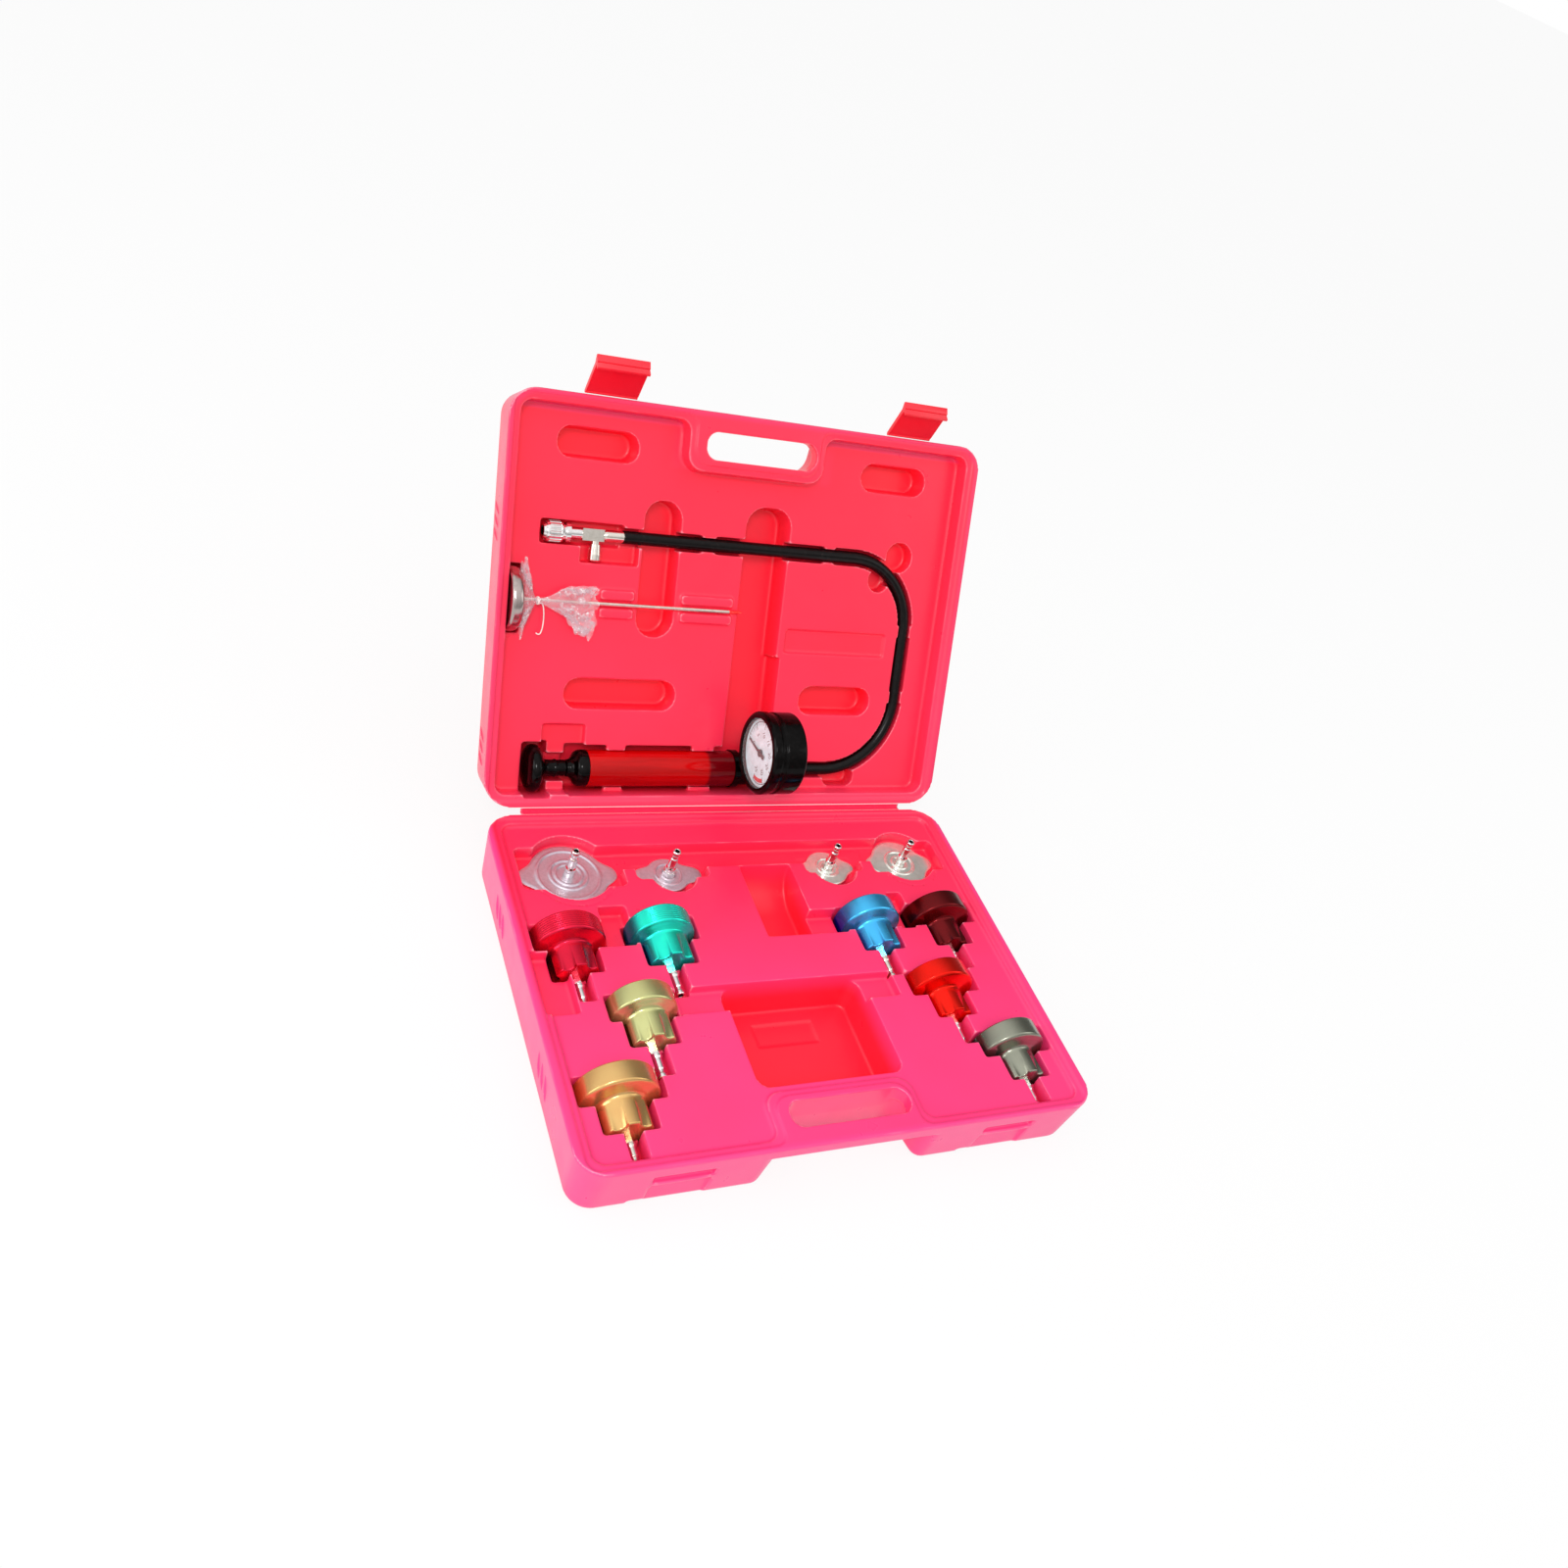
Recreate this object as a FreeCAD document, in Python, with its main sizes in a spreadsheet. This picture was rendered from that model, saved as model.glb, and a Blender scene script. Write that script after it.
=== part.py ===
import FreeCAD, Part
import math
import os
import Sketcher

# Radiator and cooling-system pressure tester kit: a blow-moulded case with a base and a lid,
# eight screw-on adapters, four bayonet caps, a hand pump with its gauge, hose and coupler,
# and a dial thermometer.  Millimetres, +Z up, origin at the middle of the base's underside.
# x runs along the case hinge, v is the distance from the hinge line along a case half, and
# heights in a half are measured from its rim, positive towards the other half when closed.

SIZES = {
    # case halves
    "case_width": 385.0, "case_reach": 297.9, "hinge_gap": 2.8, "base_height": 46.0,
    "lid_height": 40.0, "base_draft": 4.2, "lid_draft": 6.4, "pocket_draft": 3.0,
    "hinge_corner": 22.0,
    "front_corner": 20.0, "foot_round": 6.0, "lid_open_angle": 119.4,
    "border_side": 11.0, "border_hinge": 11.0, "border_front": 8.2, "border_corner": 9.0,
    "base_panel": 4.0, "lid_panel": 15.0, "ledge_wide": 5.0, "ledge_deep": 1.3, "seat_gap": 0.3,
    "pocket_gap": 1.6,
    # carrying handle
    "grip_left": -52.0, "grip_right": 48.5, "grip_near": 265.5, "grip_thick": 11.0,
    "grip_flare": 6.0, "grip_round": 12.0, "slot_left": -46.0, "slot_right": 44.5,
    "slot_near": 264.0, "slot_far": 284.0, "bump_left": -59.0, "bump_right": 52.0,
    "bump_near": 255.0,
    # base wells and trays
    "well_left": -5.4, "well_right": 37.0, "well_near": 56.5, "well_far": 126.0,
    "well_deep": 31.0, "tray_left": -57.7, "tray_right": 53.9, "tray_near": 165.0,
    "tray_far": 250.0, "tray_deep": 38.0, "tray_corner": 9.0, "shelf_left": -92.0,
    "shelf_right": 80.0, "shelf_far": 187.0, "shelf_deep": 11.0, "label_left": -27.9,
    "label_right": 20.8, "label_near": 178.0, "label_far": 197.5, "label_sink": 1.0,
    "trough_near": 32.0, "trough_far": 55.5, "head_slot_deep": 12.0,
    # latches
    "latch_left_x": -121.5, "latch_right_x": 123.0, "latch_width": 38.0,
    "latch_length": 29.5, "latch_thick": 3.0, "latch_rest": 45.0, "latch_recess": 5.0, "recess_top": 12.0,
    "latch_side_gap": 1.5, "catch_proud": 3.9, "catch_top": 20.0, "catch_tall": 3.0,
    "lip_reach": 3.8, "latch_root": 1.5,
    # hinge web
    "web_left": -164.0, "web_right": 161.0, "web_thick": 1.2,
    # adapters
    "cup_wall": 3.0, "flute_radius": 4.2, "nipple_radius": 3.2,
    "bore_radius": 1.8, "hex_flats": 9.0, "adapter_top": 13.0, "adapter_seal": 2.0,
    "neck_length": 21.0, "ring_length": 15.0, "shoulder": 3.0,
    "cup_depth": 15.0, "flute_count": 6.0,
    # caps
    "cap_drop": 12.5, "cap_plate": 1.5, "skirt_drop": 11.0, "skirt_wall": 1.4,
    "cap_nipple_rise": 25.5, "cap_seal_drop": 17.0, "ear_tip": 4.0, "cap_seal_thick": 2.4,
    # pump
    "pump_v": 28.3, "pump_sink": 18.5, "barrel_radius": 14.0, "barrel_wall": 1.8,
    "barrel_left": -111.5, "barrel_right": 8.0, "knob_radius": 18.0, "knob_left": -158.4,
    "knob_thick": 14.0, "knob_pull": 3.8, "knob_neck": 6.2, "collar_left": -127.0, "rod_radius": 4.0,
    "plunger_gap": 0.05, "head_length": 34.0, "head_radius": 15.0, "knob_wall": 2.4,
    "piston_rest": 6.0, "piston_thick": 8.5,
    # gauge
    "gauge_radius": 31.5, "gauge_depth": 29.0, "gauge_arm": 62.3, "gauge_lean": 25.0,
    "gauge_left": 2.4, "dial_radius": 26.5, "dial_sink": 4.0, "dial_plate": 1.0,
    "lens_thick": 1.6, "needle_zero": 135.0,
    "stem_radius": 6.5,
    # hose and coupler
    "hose_radius": 4.8, "hose_v": 201.8, "hose_right": 152.7, "hose_bend_far": 55.0,
    "hose_bend_near": 60.0, "hose_start": -97.6, "channel_half": 6.6, "channel_deep": 25.0,
    "tee_left": -129.3, "tee_right": -113.0,
    "tee_half": 4.3, "ferrule_radius": 4.2, "nose_left": -158.0, "sleeve_left": -155.9,
    "sleeve_right": -143.6, "sleeve_radius": 7.6, "nut_right": -138.5, "button_x": -118.0,
    "button_radius": 4.8, "button_length": 12.0, "button_stroke": 2.5, "sleeve_stroke": 2.0,
    "stub_radius": 3.2, "stub_length": 7.0, "knurl_count": 18.0,
    # thermometer
    "thermo_v": 153.1, "thermo_sink": 12.6, "thermo_radius": 23.0, "thermo_left": -183.6,
    "thermo_thick": 10.5, "stem_thin": 1.6, "stem_collar": 2.1, "stem_right": 1.8, "sheath_left": -9.0,
    "bag_right": -118.0, "bag_half": 13.6, "bag_thick": 3.0,
    # places and radii of the adapters and the caps
    "crimson_x": -153.6, "crimson_v": 105.5, "crimson_ring": 26.6,
    "crimson_neck": 16.0, "crimson_stem": 23.5,
    "teal_x": -85.5, "teal_v": 103.8, "teal_ring": 24.4,
    "teal_neck": 17.3, "teal_stem": 23.5,
    "olive_x": -117.5, "olive_v": 167.8, "olive_ring": 24.0,
    "olive_neck": 16.0, "olive_stem": 23.5,
    "gold_x": -150.6, "gold_v": 227.8, "gold_ring": 28.0,
    "gold_neck": 17.0, "gold_stem": 19.5,
    "blue_x": 86.0, "blue_v": 104.0, "blue_ring": 25.0,
    "blue_neck": 16.2, "blue_stem": 23.5,
    "maroon_x": 149.2, "maroon_v": 104.0, "maroon_ring": 27.4,
    "maroon_neck": 15.2, "maroon_stem": 22.5,
    "orange_x": 119.5, "orange_v": 168.5, "orange_ring": 27.4,
    "orange_neck": 15.4, "orange_stem": 24.0,
    "gunmetal_x": 152.9, "gunmetal_v": 227.0, "gunmetal_ring": 27.0,
    "gunmetal_neck": 15.2, "gunmetal_stem": 20.0,
    "wide_cap_x": -137.5, "wide_cap_v": 52.0, "wide_cap_disc": 28.8, "wide_cap_ears": 36.9,
    "hex_cap_x": -61.0, "hex_cap_v": 55.0, "hex_cap_disc": 16.3, "hex_cap_ears": 27.0,
    "small_cap_x": 75.5, "small_cap_v": 54.0, "small_cap_disc": 17.4, "small_cap_ears": 23.5,
    "large_cap_x": 144.0, "large_cap_v": 52.0, "large_cap_disc": 24.2, "large_cap_ears": 31.0,
}

doc = FreeCAD.newDocument("pressure_tester")
sheet = doc.addObject("Spreadsheet::Sheet", "sizes")
for row, (word, number) in enumerate(SIZES.items(), start=1):
    sheet.set(f"A{row}", word)
    sheet.set(f"B{row}", str(number))
    sheet.setAlias(f"B{row}", word)
doc.recompute()


class Dim:
    """A size with both its value and the sheet expression that gives it."""

    def __init__(self, value, text):
        self.value = float(value)
        self.text = text

    @staticmethod
    def of(thing):
        return thing if isinstance(thing, Dim) else Dim(thing, f"{float(thing):.6g}")

    def __add__(self, other):
        other = Dim.of(other)
        return Dim(self.value + other.value, f"({self.text} + {other.text})")

    def __sub__(self, other):
        other = Dim.of(other)
        return Dim(self.value - other.value, f"({self.text} - {other.text})")

    def __mul__(self, other):
        other = Dim.of(other)
        return Dim(self.value * other.value, f"({self.text} * {other.text})")

    def __truediv__(self, other):
        other = Dim.of(other)
        return Dim(self.value / other.value, f"({self.text} / {other.text})")

    def __neg__(self):
        return Dim(-self.value, f"(0 - {self.text})")

    def __radd__(self, other):
        return Dim.of(other) + self

    def __rsub__(self, other):
        return Dim.of(other) - self

    def __rmul__(self, other):
        return Dim.of(other) * self


class Sizes:
    """Every size of the sheet by its own name."""

    def __getattr__(self, word):
        return Dim(sheet.get(word), f"sizes.{word}")


size = Sizes()
ZERO = Dim(0, "0")
nodes = []


# ---------------------------------------------------------------- sketches and features

def new_body(label):
    """An empty body, kept as one node of the assembly."""
    body = doc.addObject("PartDesign::Body", label)
    body.Label = label
    nodes.append(body)
    return body


def origin_plane(body, role):
    """One of the body's own origin planes."""
    return next(f for f in body.Origin.OriginFeatures if f.Role == role)


def new_sketch(body, name, role="XY_Plane", lift=None):
    """A sketch on an origin plane of its body, raised along the plane's normal."""
    sketch = body.newObject("Sketcher::SketchObject", name)
    sketch.AttachmentSupport = (origin_plane(body, role), [""])
    sketch.MapMode = "FlatFace"
    if lift is not None:
        sketch.setExpression("AttachmentOffset.Base.z", Dim.of(lift).text)
    return sketch


def pin_point(sketch, geo, pos, x, y):
    """Fix a sketch point at x, y, each bound to the sheet."""
    for kind, coordinate, axis in (("DistanceX", x, -2), ("DistanceY", y, -1)):
        coordinate = Dim.of(coordinate)
        if coordinate.text == "0":
            sketch.addConstraint(Sketcher.Constraint("PointOnObject", geo, pos, axis))
            continue
        at = sketch.addConstraint(
            Sketcher.Constraint(kind, -1, 1, geo, pos, coordinate.value))
        sketch.setExpression(f"Constraints[{at}]", coordinate.text)


def runs(sketch, corners, closed=True):
    """Straight runs with rounded corners; a corner is x, y and, where round, a radius."""
    spots = [(Dim.of(c[0]), Dim.of(c[1]), Dim.of(c[2]) if len(c) > 2 else None)
             for c in corners]
    count = len(spots)
    place = [FreeCAD.Vector(x.value, y.value, 0) for x, y, _ in spots]
    enter, leave = list(place), list(place)
    for i, (_, _, radius) in enumerate(spots):
        if radius is None:
            continue
        back = (place[i - 1] - place[i]).normalize()
        ahead = (place[(i + 1) % count] - place[i]).normalize()
        reach = radius.value / math.tan(back.getAngle(ahead) / 2)
        enter[i] = place[i] + back * reach
        leave[i] = place[i] + ahead * reach
    edges = count if closed else count - 1
    lines = [sketch.addGeometry(Part.LineSegment(leave[i], enter[(i + 1) % count]))
             for i in range(edges)]
    for i, (x, y, radius) in enumerate(spots):
        before = lines[i - 1] if closed or i > 0 else None
        after = lines[i] if i < edges else None
        if radius is None:
            if before is None:
                pin_point(sketch, after, 1, x, y)
                continue
            if after is not None:
                sketch.addConstraint(Sketcher.Constraint("Coincident", before, 2, after, 1))
            pin_point(sketch, before, 2, x, y)
            continue
        back = (place[i - 1] - place[i]).normalize()
        ahead = (place[(i + 1) % count] - place[i]).normalize()
        half = back.getAngle(ahead) / 2
        inward = (back + ahead).normalize()
        centre = place[i] + inward * (radius.value / math.sin(half))
        middle = centre - inward * radius.value
        arc = sketch.addGeometry(Part.Arc(enter[i], middle, leave[i]))
        starts = sketch.getPoint(arc, 1).distanceToPoint(enter[i]) < 1e-6
        first, last = (1, 2) if starts else (2, 1)
        mark = sketch.addGeometry(Part.Point(place[i]), True)
        sketch.addConstraint([
            Sketcher.Constraint("Tangent", before, 2, arc, first),
            Sketcher.Constraint("Tangent", arc, last, after, 1),
            Sketcher.Constraint("PointOnObject", mark, 1, before),
            Sketcher.Constraint("PointOnObject", mark, 1, after),
        ])
        at = sketch.addConstraint(Sketcher.Constraint("Radius", arc, radius.value))
        sketch.setExpression(f"Constraints[{at}]", radius.text)
        pin_point(sketch, mark, 1, x, y)
    return lines


def circle(sketch, x, y, radius):
    """A circle with its centre and radius bound to the sheet."""
    x, y, radius = Dim.of(x), Dim.of(y), Dim.of(radius)
    geo = sketch.addGeometry(
        Part.Circle(FreeCAD.Vector(x.value, y.value, 0), FreeCAD.Vector(0, 0, 1), radius.value))
    at = sketch.addConstraint(Sketcher.Constraint("Radius", geo, radius.value))
    sketch.setExpression(f"Constraints[{at}]", radius.text)
    pin_point(sketch, geo, 3, x, y)


def box_corners(left, right, near, far, radius=None):
    """The four corners of a rectangle, round where a radius is given."""
    tail = () if radius is None else (radius,)
    return [(left, near, *tail), (right, near, *tail), (right, far, *tail), (left, far, *tail)]


def extrude(body, sketch, kind, length, reverse=False, taper=None):
    """A pad or a pocket of a sketch, its length and draft bound to the sheet."""
    feature = body.newObject(f"PartDesign::{kind}", f"{sketch.Name}_{kind}")
    feature.Profile = sketch
    feature.Reversed = reverse
    feature.setExpression("Length", Dim.of(length).text)
    if taper is not None:
        feature.setExpression("TaperAngle", Dim.of(taper).text)
    sketch.Visibility = False
    return feature


def turn(body, name, corners, kind="Revolution", role="XZ_Plane", axis="H_Axis"):
    """A profile of x and radius turned about the piece's own axis."""
    sketch = new_sketch(body, name, role)
    runs(sketch, corners)
    feature = body.newObject(f"PartDesign::{kind}", f"{name}_{kind}")
    feature.Profile = sketch
    feature.ReferenceAxis = (sketch, [axis])
    feature.Angle = 360
    return feature


def spread(body, feature, count, axis_role):
    """Repeat a feature round one of the body's axes."""
    pattern = body.newObject("PartDesign::PolarPattern", f"{feature.Name}_ring")
    pattern.Originals = [feature]
    pattern.Axis = (origin_plane(body, axis_role), [""])
    pattern.Angle = 360
    pattern.Occurrences = int(round(Dim.of(count).value))
    body.Tip = pattern
    return pattern


# ---------------------------------------------------------------- frames of the case halves

def turned(axis, degrees):
    return FreeCAD.Rotation(FreeCAD.Vector(*axis), degrees)


middle_y = (size.case_reach.value + size.hinge_gap.value) / 2
hinge = FreeCAD.Vector(0, middle_y, size.base_height.value)
base_frame = FreeCAD.Placement(hinge, FreeCAD.Rotation())
lid_frame = FreeCAD.Placement(hinge, turned((1, 0, 0), 180 - size.lid_open_angle.value))


def seat(body, frame, x, y, z, rotation=None):
    """Place a piece in the frame of the half that carries it."""
    spot = FreeCAD.Vector(*[Dim.of(value).value for value in (x, y, z)])
    body.Placement = frame.multiply(FreeCAD.Placement(spot, rotation or FreeCAD.Rotation()))


class Half:
    """One case half: its body, and which way v runs along its own y."""

    def __init__(self, label, side, height, draft):
        self.body = new_body(label)
        self.side = side
        self.height = height
        self.draft = draft

    def mapped(self, corners):
        turned_round = [(c[0], Dim.of(c[1]) * self.side, *c[2:]) for c in corners]
        return turned_round

    def sink(self, name, corners, depth, draft=True):
        """A drafted pocket from the rim plane down to a depth."""
        sketch = new_sketch(self.body, name)
        runs(sketch, self.mapped(corners))
        taper = -size.pocket_draft if draft else None
        return extrude(self.body, sketch, "Pocket", depth, taper=taper)

    def sink_round(self, name, spots, depth):
        """Round pockets of one depth: each spot is x, v and radius."""
        sketch = new_sketch(self.body, name)
        for x, v, radius in spots:
            circle(sketch, x, Dim.of(v) * self.side, radius)
        return extrude(self.body, sketch, "Pocket", depth)

    def raise_pads(self, name, outlines, floor, tall):
        """Pads that stand up from a floor below the rim."""
        sketch = new_sketch(self.body, name, lift=-Dim.of(floor))
        for corners in outlines:
            runs(sketch, self.mapped(corners))
        return extrude(self.body, sketch, "Pad", tall)


def build_shell(half, name):
    """The drafted tub with its notch round the handle, the grip and the slot."""
    side = size.case_width / 2
    tub = new_sketch(half.body, f"{name}_outline")
    far = size.case_reach
    corners = [
        (-side, size.hinge_gap, size.hinge_corner), (side, size.hinge_gap, size.hinge_corner),
        (side, far, size.front_corner), (size.grip_right + size.grip_flare, far, size.grip_round),
        (size.grip_right, size.grip_near, size.grip_round),
        (size.grip_left, size.grip_near, size.grip_round),
        (size.grip_left - size.grip_flare, far, size.grip_round), (-side, far, size.front_corner)]
    runs(tub, half.mapped(corners))
    pad = extrude(half.body, tub, "Pad", half.height, reverse=True, taper=-half.draft)
    doc.recompute()
    low = [f"Edge{i}" for i, edge in enumerate(pad.Shape.Edges, start=1)
           if edge.BoundBox.ZMax < 0.01 - half.height.value]
    rounding = half.body.newObject("PartDesign::Fillet", f"{name}_foot_round")
    rounding.Base = (pad, low)
    rounding.setExpression("Radius", size.foot_round.text)
    grip = new_sketch(half.body, f"{name}_grip")
    runs(grip, half.mapped(box_corners(
        size.grip_left - size.grip_round * 2, size.grip_right + size.grip_round * 2,
        size.bump_near, far)))
    extrude(half.body, grip, "Pad", size.grip_thick, reverse=True, taper=-half.draft)
    return side


def border_corners(left, right, near, out=ZERO):
    """The recess outline, stepping round the handle and grown outwards where asked."""
    far = size.case_reach - size.border_front + out
    turn_in = size.border_corner
    bump_left, bump_right = size.bump_left + out, size.bump_right - out
    bump_near = size.bump_near + out
    left, right, near = left - out, right + out, near - out
    return [(left, near, turn_in), (right, near, turn_in), (right, far, turn_in),
            (bump_right, far, turn_in), (bump_right, bump_near, size.grip_round),
            (bump_left, bump_near, size.grip_round), (bump_left, far, turn_in),
            (left, far, turn_in)]


def cut_slot(half, name):
    """The finger slot of the handle, through the half."""
    round_end = (size.slot_far - size.slot_near) * 0.48
    return half.sink(f"{name}_slot", box_corners(
        size.slot_left, size.slot_right, size.slot_near, size.slot_far, round_end),
        half.height, draft=False)


# ---------------------------------------------------------------- the two sets in the base

ADAPTERS = {"crimson": 4, "teal": 4, "olive": 0, "gold": 0, "blue": 1, "maroon": 1,
            "orange": 1, "gunmetal": 1}          # grip grooves round each ring
CAPS = ("wide_cap", "hex_cap", "small_cap", "large_cap")


def own(name, what):
    """A size that belongs to one adapter or cap."""
    return getattr(size, f"{name}_{what}")


def ring_depth(name):
    """How far below the rim an adapter's axis lies, its top being level with the others."""
    return own(name, "ring") - size.adapter_top


def adapter_bed(half, name):
    """The stepped trench of one adapter: ring, neck and nipple."""
    middle, mouth, ring = own(name, "x"), own(name, "v"), own(name, "ring")
    depth, gap = ring_depth(name), size.pocket_gap
    ring_far = mouth + size.ring_length + size.shoulder
    neck_far = ring_far + size.neck_length
    steps = ((ring, mouth - gap, ring_far + gap), (own(name, "neck"), ring_far, neck_far + gap),
             (size.hex_flats / 2, neck_far, neck_far + own(name, "stem") + gap))
    for step, (radius, near, far) in enumerate(steps):
        wide = radius + gap
        half.sink(f"{name}_bed_{step}", box_corners(middle - wide, middle + wide, near, far),
                  depth + radius + size.seat_gap, draft=False)


def cap_bed(half, name):
    """The round seat, the well under it and the slot for the two ears of one cap."""
    middle, v, disc = own(name, "x"), own(name, "v"), own(name, "disc")
    floor = size.cap_drop + size.cap_plate + size.seat_gap
    span = own(name, "ears") + size.pocket_gap
    half.sink(f"{name}_ears", box_corners(middle - span, middle + span,
                                          v - disc * 0.66, v + disc * 0.66, size.ear_tip),
              floor, draft=False)
    half.sink_round(f"{name}_seat", [(middle, v, disc + size.pocket_gap)], floor)
    half.sink_round(f"{name}_well", [(middle, v, disc - size.cap_plate)],
                    size.cap_drop + size.cap_seal_drop + size.seat_gap)


# ---------------------------------------------------------------- base of the case

base = Half("case_base", -1, size.base_height, size.base_draft)
side_x = build_shell(base, "base")
base_border = (size.border_side - side_x, side_x - size.border_side, size.border_hinge)
base.sink("base_ledge", border_corners(*base_border, size.ledge_wide), size.ledge_deep)
base.sink("base_recess", border_corners(*base_border), size.base_panel)
cut_slot(base, "base")
base.sink("parts_tray", box_corners(size.tray_left, size.tray_right, size.tray_near,
                                    size.tray_far, size.tray_corner), size.tray_deep)
base.sink("finger_shelf", box_corners(size.shelf_left, size.shelf_right, size.tray_near,
                                      size.shelf_far, size.pocket_gap), size.shelf_deep)
base.sink("label_recess", box_corners(size.label_left, size.label_right, size.label_near,
                                      size.label_far), size.tray_deep + size.label_sink,
          draft=False)
well = new_sketch(base.body, "gauge_well", "YZ_Plane", lift=size.well_left)
runs(well, [(-size.well_near, 1), (-size.well_near, -size.well_deep, size.well_deep * 0.9),
            (-size.well_far, -size.well_deep, size.border_corner / 2), (-size.well_far, 1)])
extrude(base.body, well, "Pocket", size.well_right - size.well_left, reverse=True)
base.sink("cap_trough", box_corners(size.wide_cap_x, size.large_cap_x, size.trough_near,
                                    size.trough_far), size.cap_drop + size.cap_plate)
for name in CAPS:
    cap_bed(base, name)
for name in ADAPTERS:
    adapter_bed(base, name)
base.sink("thermometer_clearance", box_corners(
    size.thermo_left - size.pocket_gap, -161.0,
    size.thermo_v - size.thermo_radius - 3, size.thermo_v + size.thermo_radius + 3,
    size.pocket_gap), size.head_slot_deep)

# spaces for fingertips beside the tall rings, and beside the gauge well
for word, left, right, near, far in (("left", -128.0, -107.0, 90.0, 126.0),
                                     ("right", 109.0, 123.0, 90.0, 126.0),
                                     ("middle", 30.0, 63.0, 103.0, 126.0)):
    base.sink(f"fingertips_{word}", box_corners(left, right, near, far, size.pocket_gap),
              size.shelf_deep + 3)

# recesses in the front wall for the two latches, each with the ridge that its hook catches
for word, middle in (("left", size.latch_left_x), ("right", size.latch_right_x)):
    reach = size.latch_width / 2 + size.latch_side_gap
    wall = size.case_reach - size.latch_recess
    recess = new_sketch(base.body, f"latch_recess_{word}", lift=-size.recess_top)
    runs(recess, base.mapped(box_corners(
        middle - reach, middle + reach, wall, size.case_reach + size.latch_recess)))
    extrude(base.body, recess, "Pocket", size.base_height)
    step = new_sketch(base.body, f"foot_step_{word}", lift=size.foot_round - size.base_height)
    runs(step, base.mapped(box_corners(
        middle - reach * 1.5, middle - reach, size.bump_near + size.grip_round, size.case_reach)))
    extrude(base.body, step, "Pocket", size.foot_round)
    base.raise_pads(f"catch_{word}", [box_corners(
        middle - size.latch_width / 2, middle + size.latch_width / 2,
        wall - size.latch_recess, wall + size.catch_proud)],
        size.catch_top + size.catch_tall, size.catch_tall)


# ---------------------------------------------------------------- lid of the case

lid = Half("case_lid", 1, size.lid_height, size.lid_draft)
side_x = build_shell(lid, "lid")
lid_left = -side_x + size.border_side - 2.5
lid_border = (lid_left, side_x - size.border_side, size.border_hinge + 1)
lid.sink("lid_ledge", border_corners(*lid_border, size.ledge_wide), size.ledge_deep)
lid.sink("lid_recess", border_corners(*lid_border), size.lid_panel)
cut_slot(lid, "lid")
knob_deep = size.pump_sink + size.knob_radius + size.seat_gap
knob_gap = size.knob_wall
lid.sink("knob_pocket", box_corners(
    size.knob_left - size.knob_pull, size.knob_left + size.knob_thick + knob_gap,
    size.pump_v - size.knob_radius - 1, size.pump_v + size.knob_radius + knob_gap,
    size.pocket_gap), knob_deep, draft=False)
lid.sink("neck_pocket", box_corners(
    size.knob_left, size.collar_left + knob_gap, size.pump_v - size.knob_neck * 1.5,
    size.pump_v + size.knob_neck * 1.8), size.pump_sink + size.knob_neck + knob_gap,
    draft=False)
barrel_deep = size.pump_sink + size.head_radius + size.seat_gap
lid.sink("barrel_pocket", box_corners(
    size.collar_left - size.seat_gap * 4, size.barrel_right + size.head_length + knob_gap,
    size.pump_v - size.head_radius - knob_gap, size.pump_v + size.head_radius + knob_gap * 1.5),
    barrel_deep, draft=False)
trough_deep = size.lid_height - size.knob_wall * 1.8
lid.sink("gauge_trough", box_corners(-1.0, 38.0, size.pump_v, 234.0, 15.0), trough_deep)
lid.sink("gauge_trough_wide", box_corners(-1.0, 41.5, size.pump_v, 120.0), trough_deep)

# the hose channel: straight runs with the hose's own bends, wider by the channel's half width
channel = size.channel_half
near_v, far_v, right_x = size.pump_v, size.hose_v, size.hose_right
lid.sink("hose_channel", [
    (size.hose_start - 6, far_v + channel),
    (right_x + channel, far_v + channel, size.hose_bend_far + channel),
    (right_x + channel, near_v - channel, size.hose_bend_near + channel),
    (size.barrel_right + size.head_length, near_v - channel),
    (size.barrel_right + size.head_length, near_v + channel),
    (right_x - channel, near_v + channel, size.hose_bend_near - channel),
    (right_x - channel, far_v - channel, size.hose_bend_far - channel),
    (size.hose_start - 6, far_v - channel)], size.channel_deep, draft=False)
lid.sink("coupler_pocket", box_corners(
    size.nose_left - knob_gap, size.hose_start, far_v - size.sleeve_radius - 1,
    far_v + size.sleeve_radius + 1), size.pump_sink + size.sleeve_radius + size.seat_gap,
    draft=False)
lid.sink("button_pocket", box_corners(
    size.button_x - 12, size.button_x + 33, far_v - 20, far_v), size.pump_sink + 6,
    draft=False)
lid.sink("thermometer_pocket", box_corners(
    lid_left, size.thermo_left + size.thermo_thick + 1.5,
    size.thermo_v - size.thermo_radius - 1.5, size.thermo_v + size.thermo_radius + 1.5),
    size.thermo_sink + size.thermo_radius + size.seat_gap, draft=False)

# stiffening recesses with round ends, and the shallow plain ones
for word, left, right, near, far in (
        ("far_left", -153.8, -91.6, 253.5, 276.4), ("far_right", 92.9, 153.0, 253.5, 276.4),
        ("mid_left", -134.4, -44.7, 73.6, 98.0), ("mid_right", 61.3, 128.6, 73.6, 98.0),
        ("upright", -83.4, -52.9, 129.6, 231.6)):
    short = min(right - left, far - near)
    lid.sink(f"rib_{word}", box_corners(left, right, near, far, short * 0.48),
             size.lid_panel + 17)
lid.sink("plain_recess", box_corners(43.0, 136.0, 122.5, 142.9, 2.0), size.lid_panel + 2.4)
lid.sink("thumb_recess", box_corners(-148.7, -114.0, 39.0, 63.4, 3.0), size.lid_panel + 5)
lid.sink("finger_recess", box_corners(92.7, 122.2, 14.0, 31.0, 7.0), size.lid_panel + 12)
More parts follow.
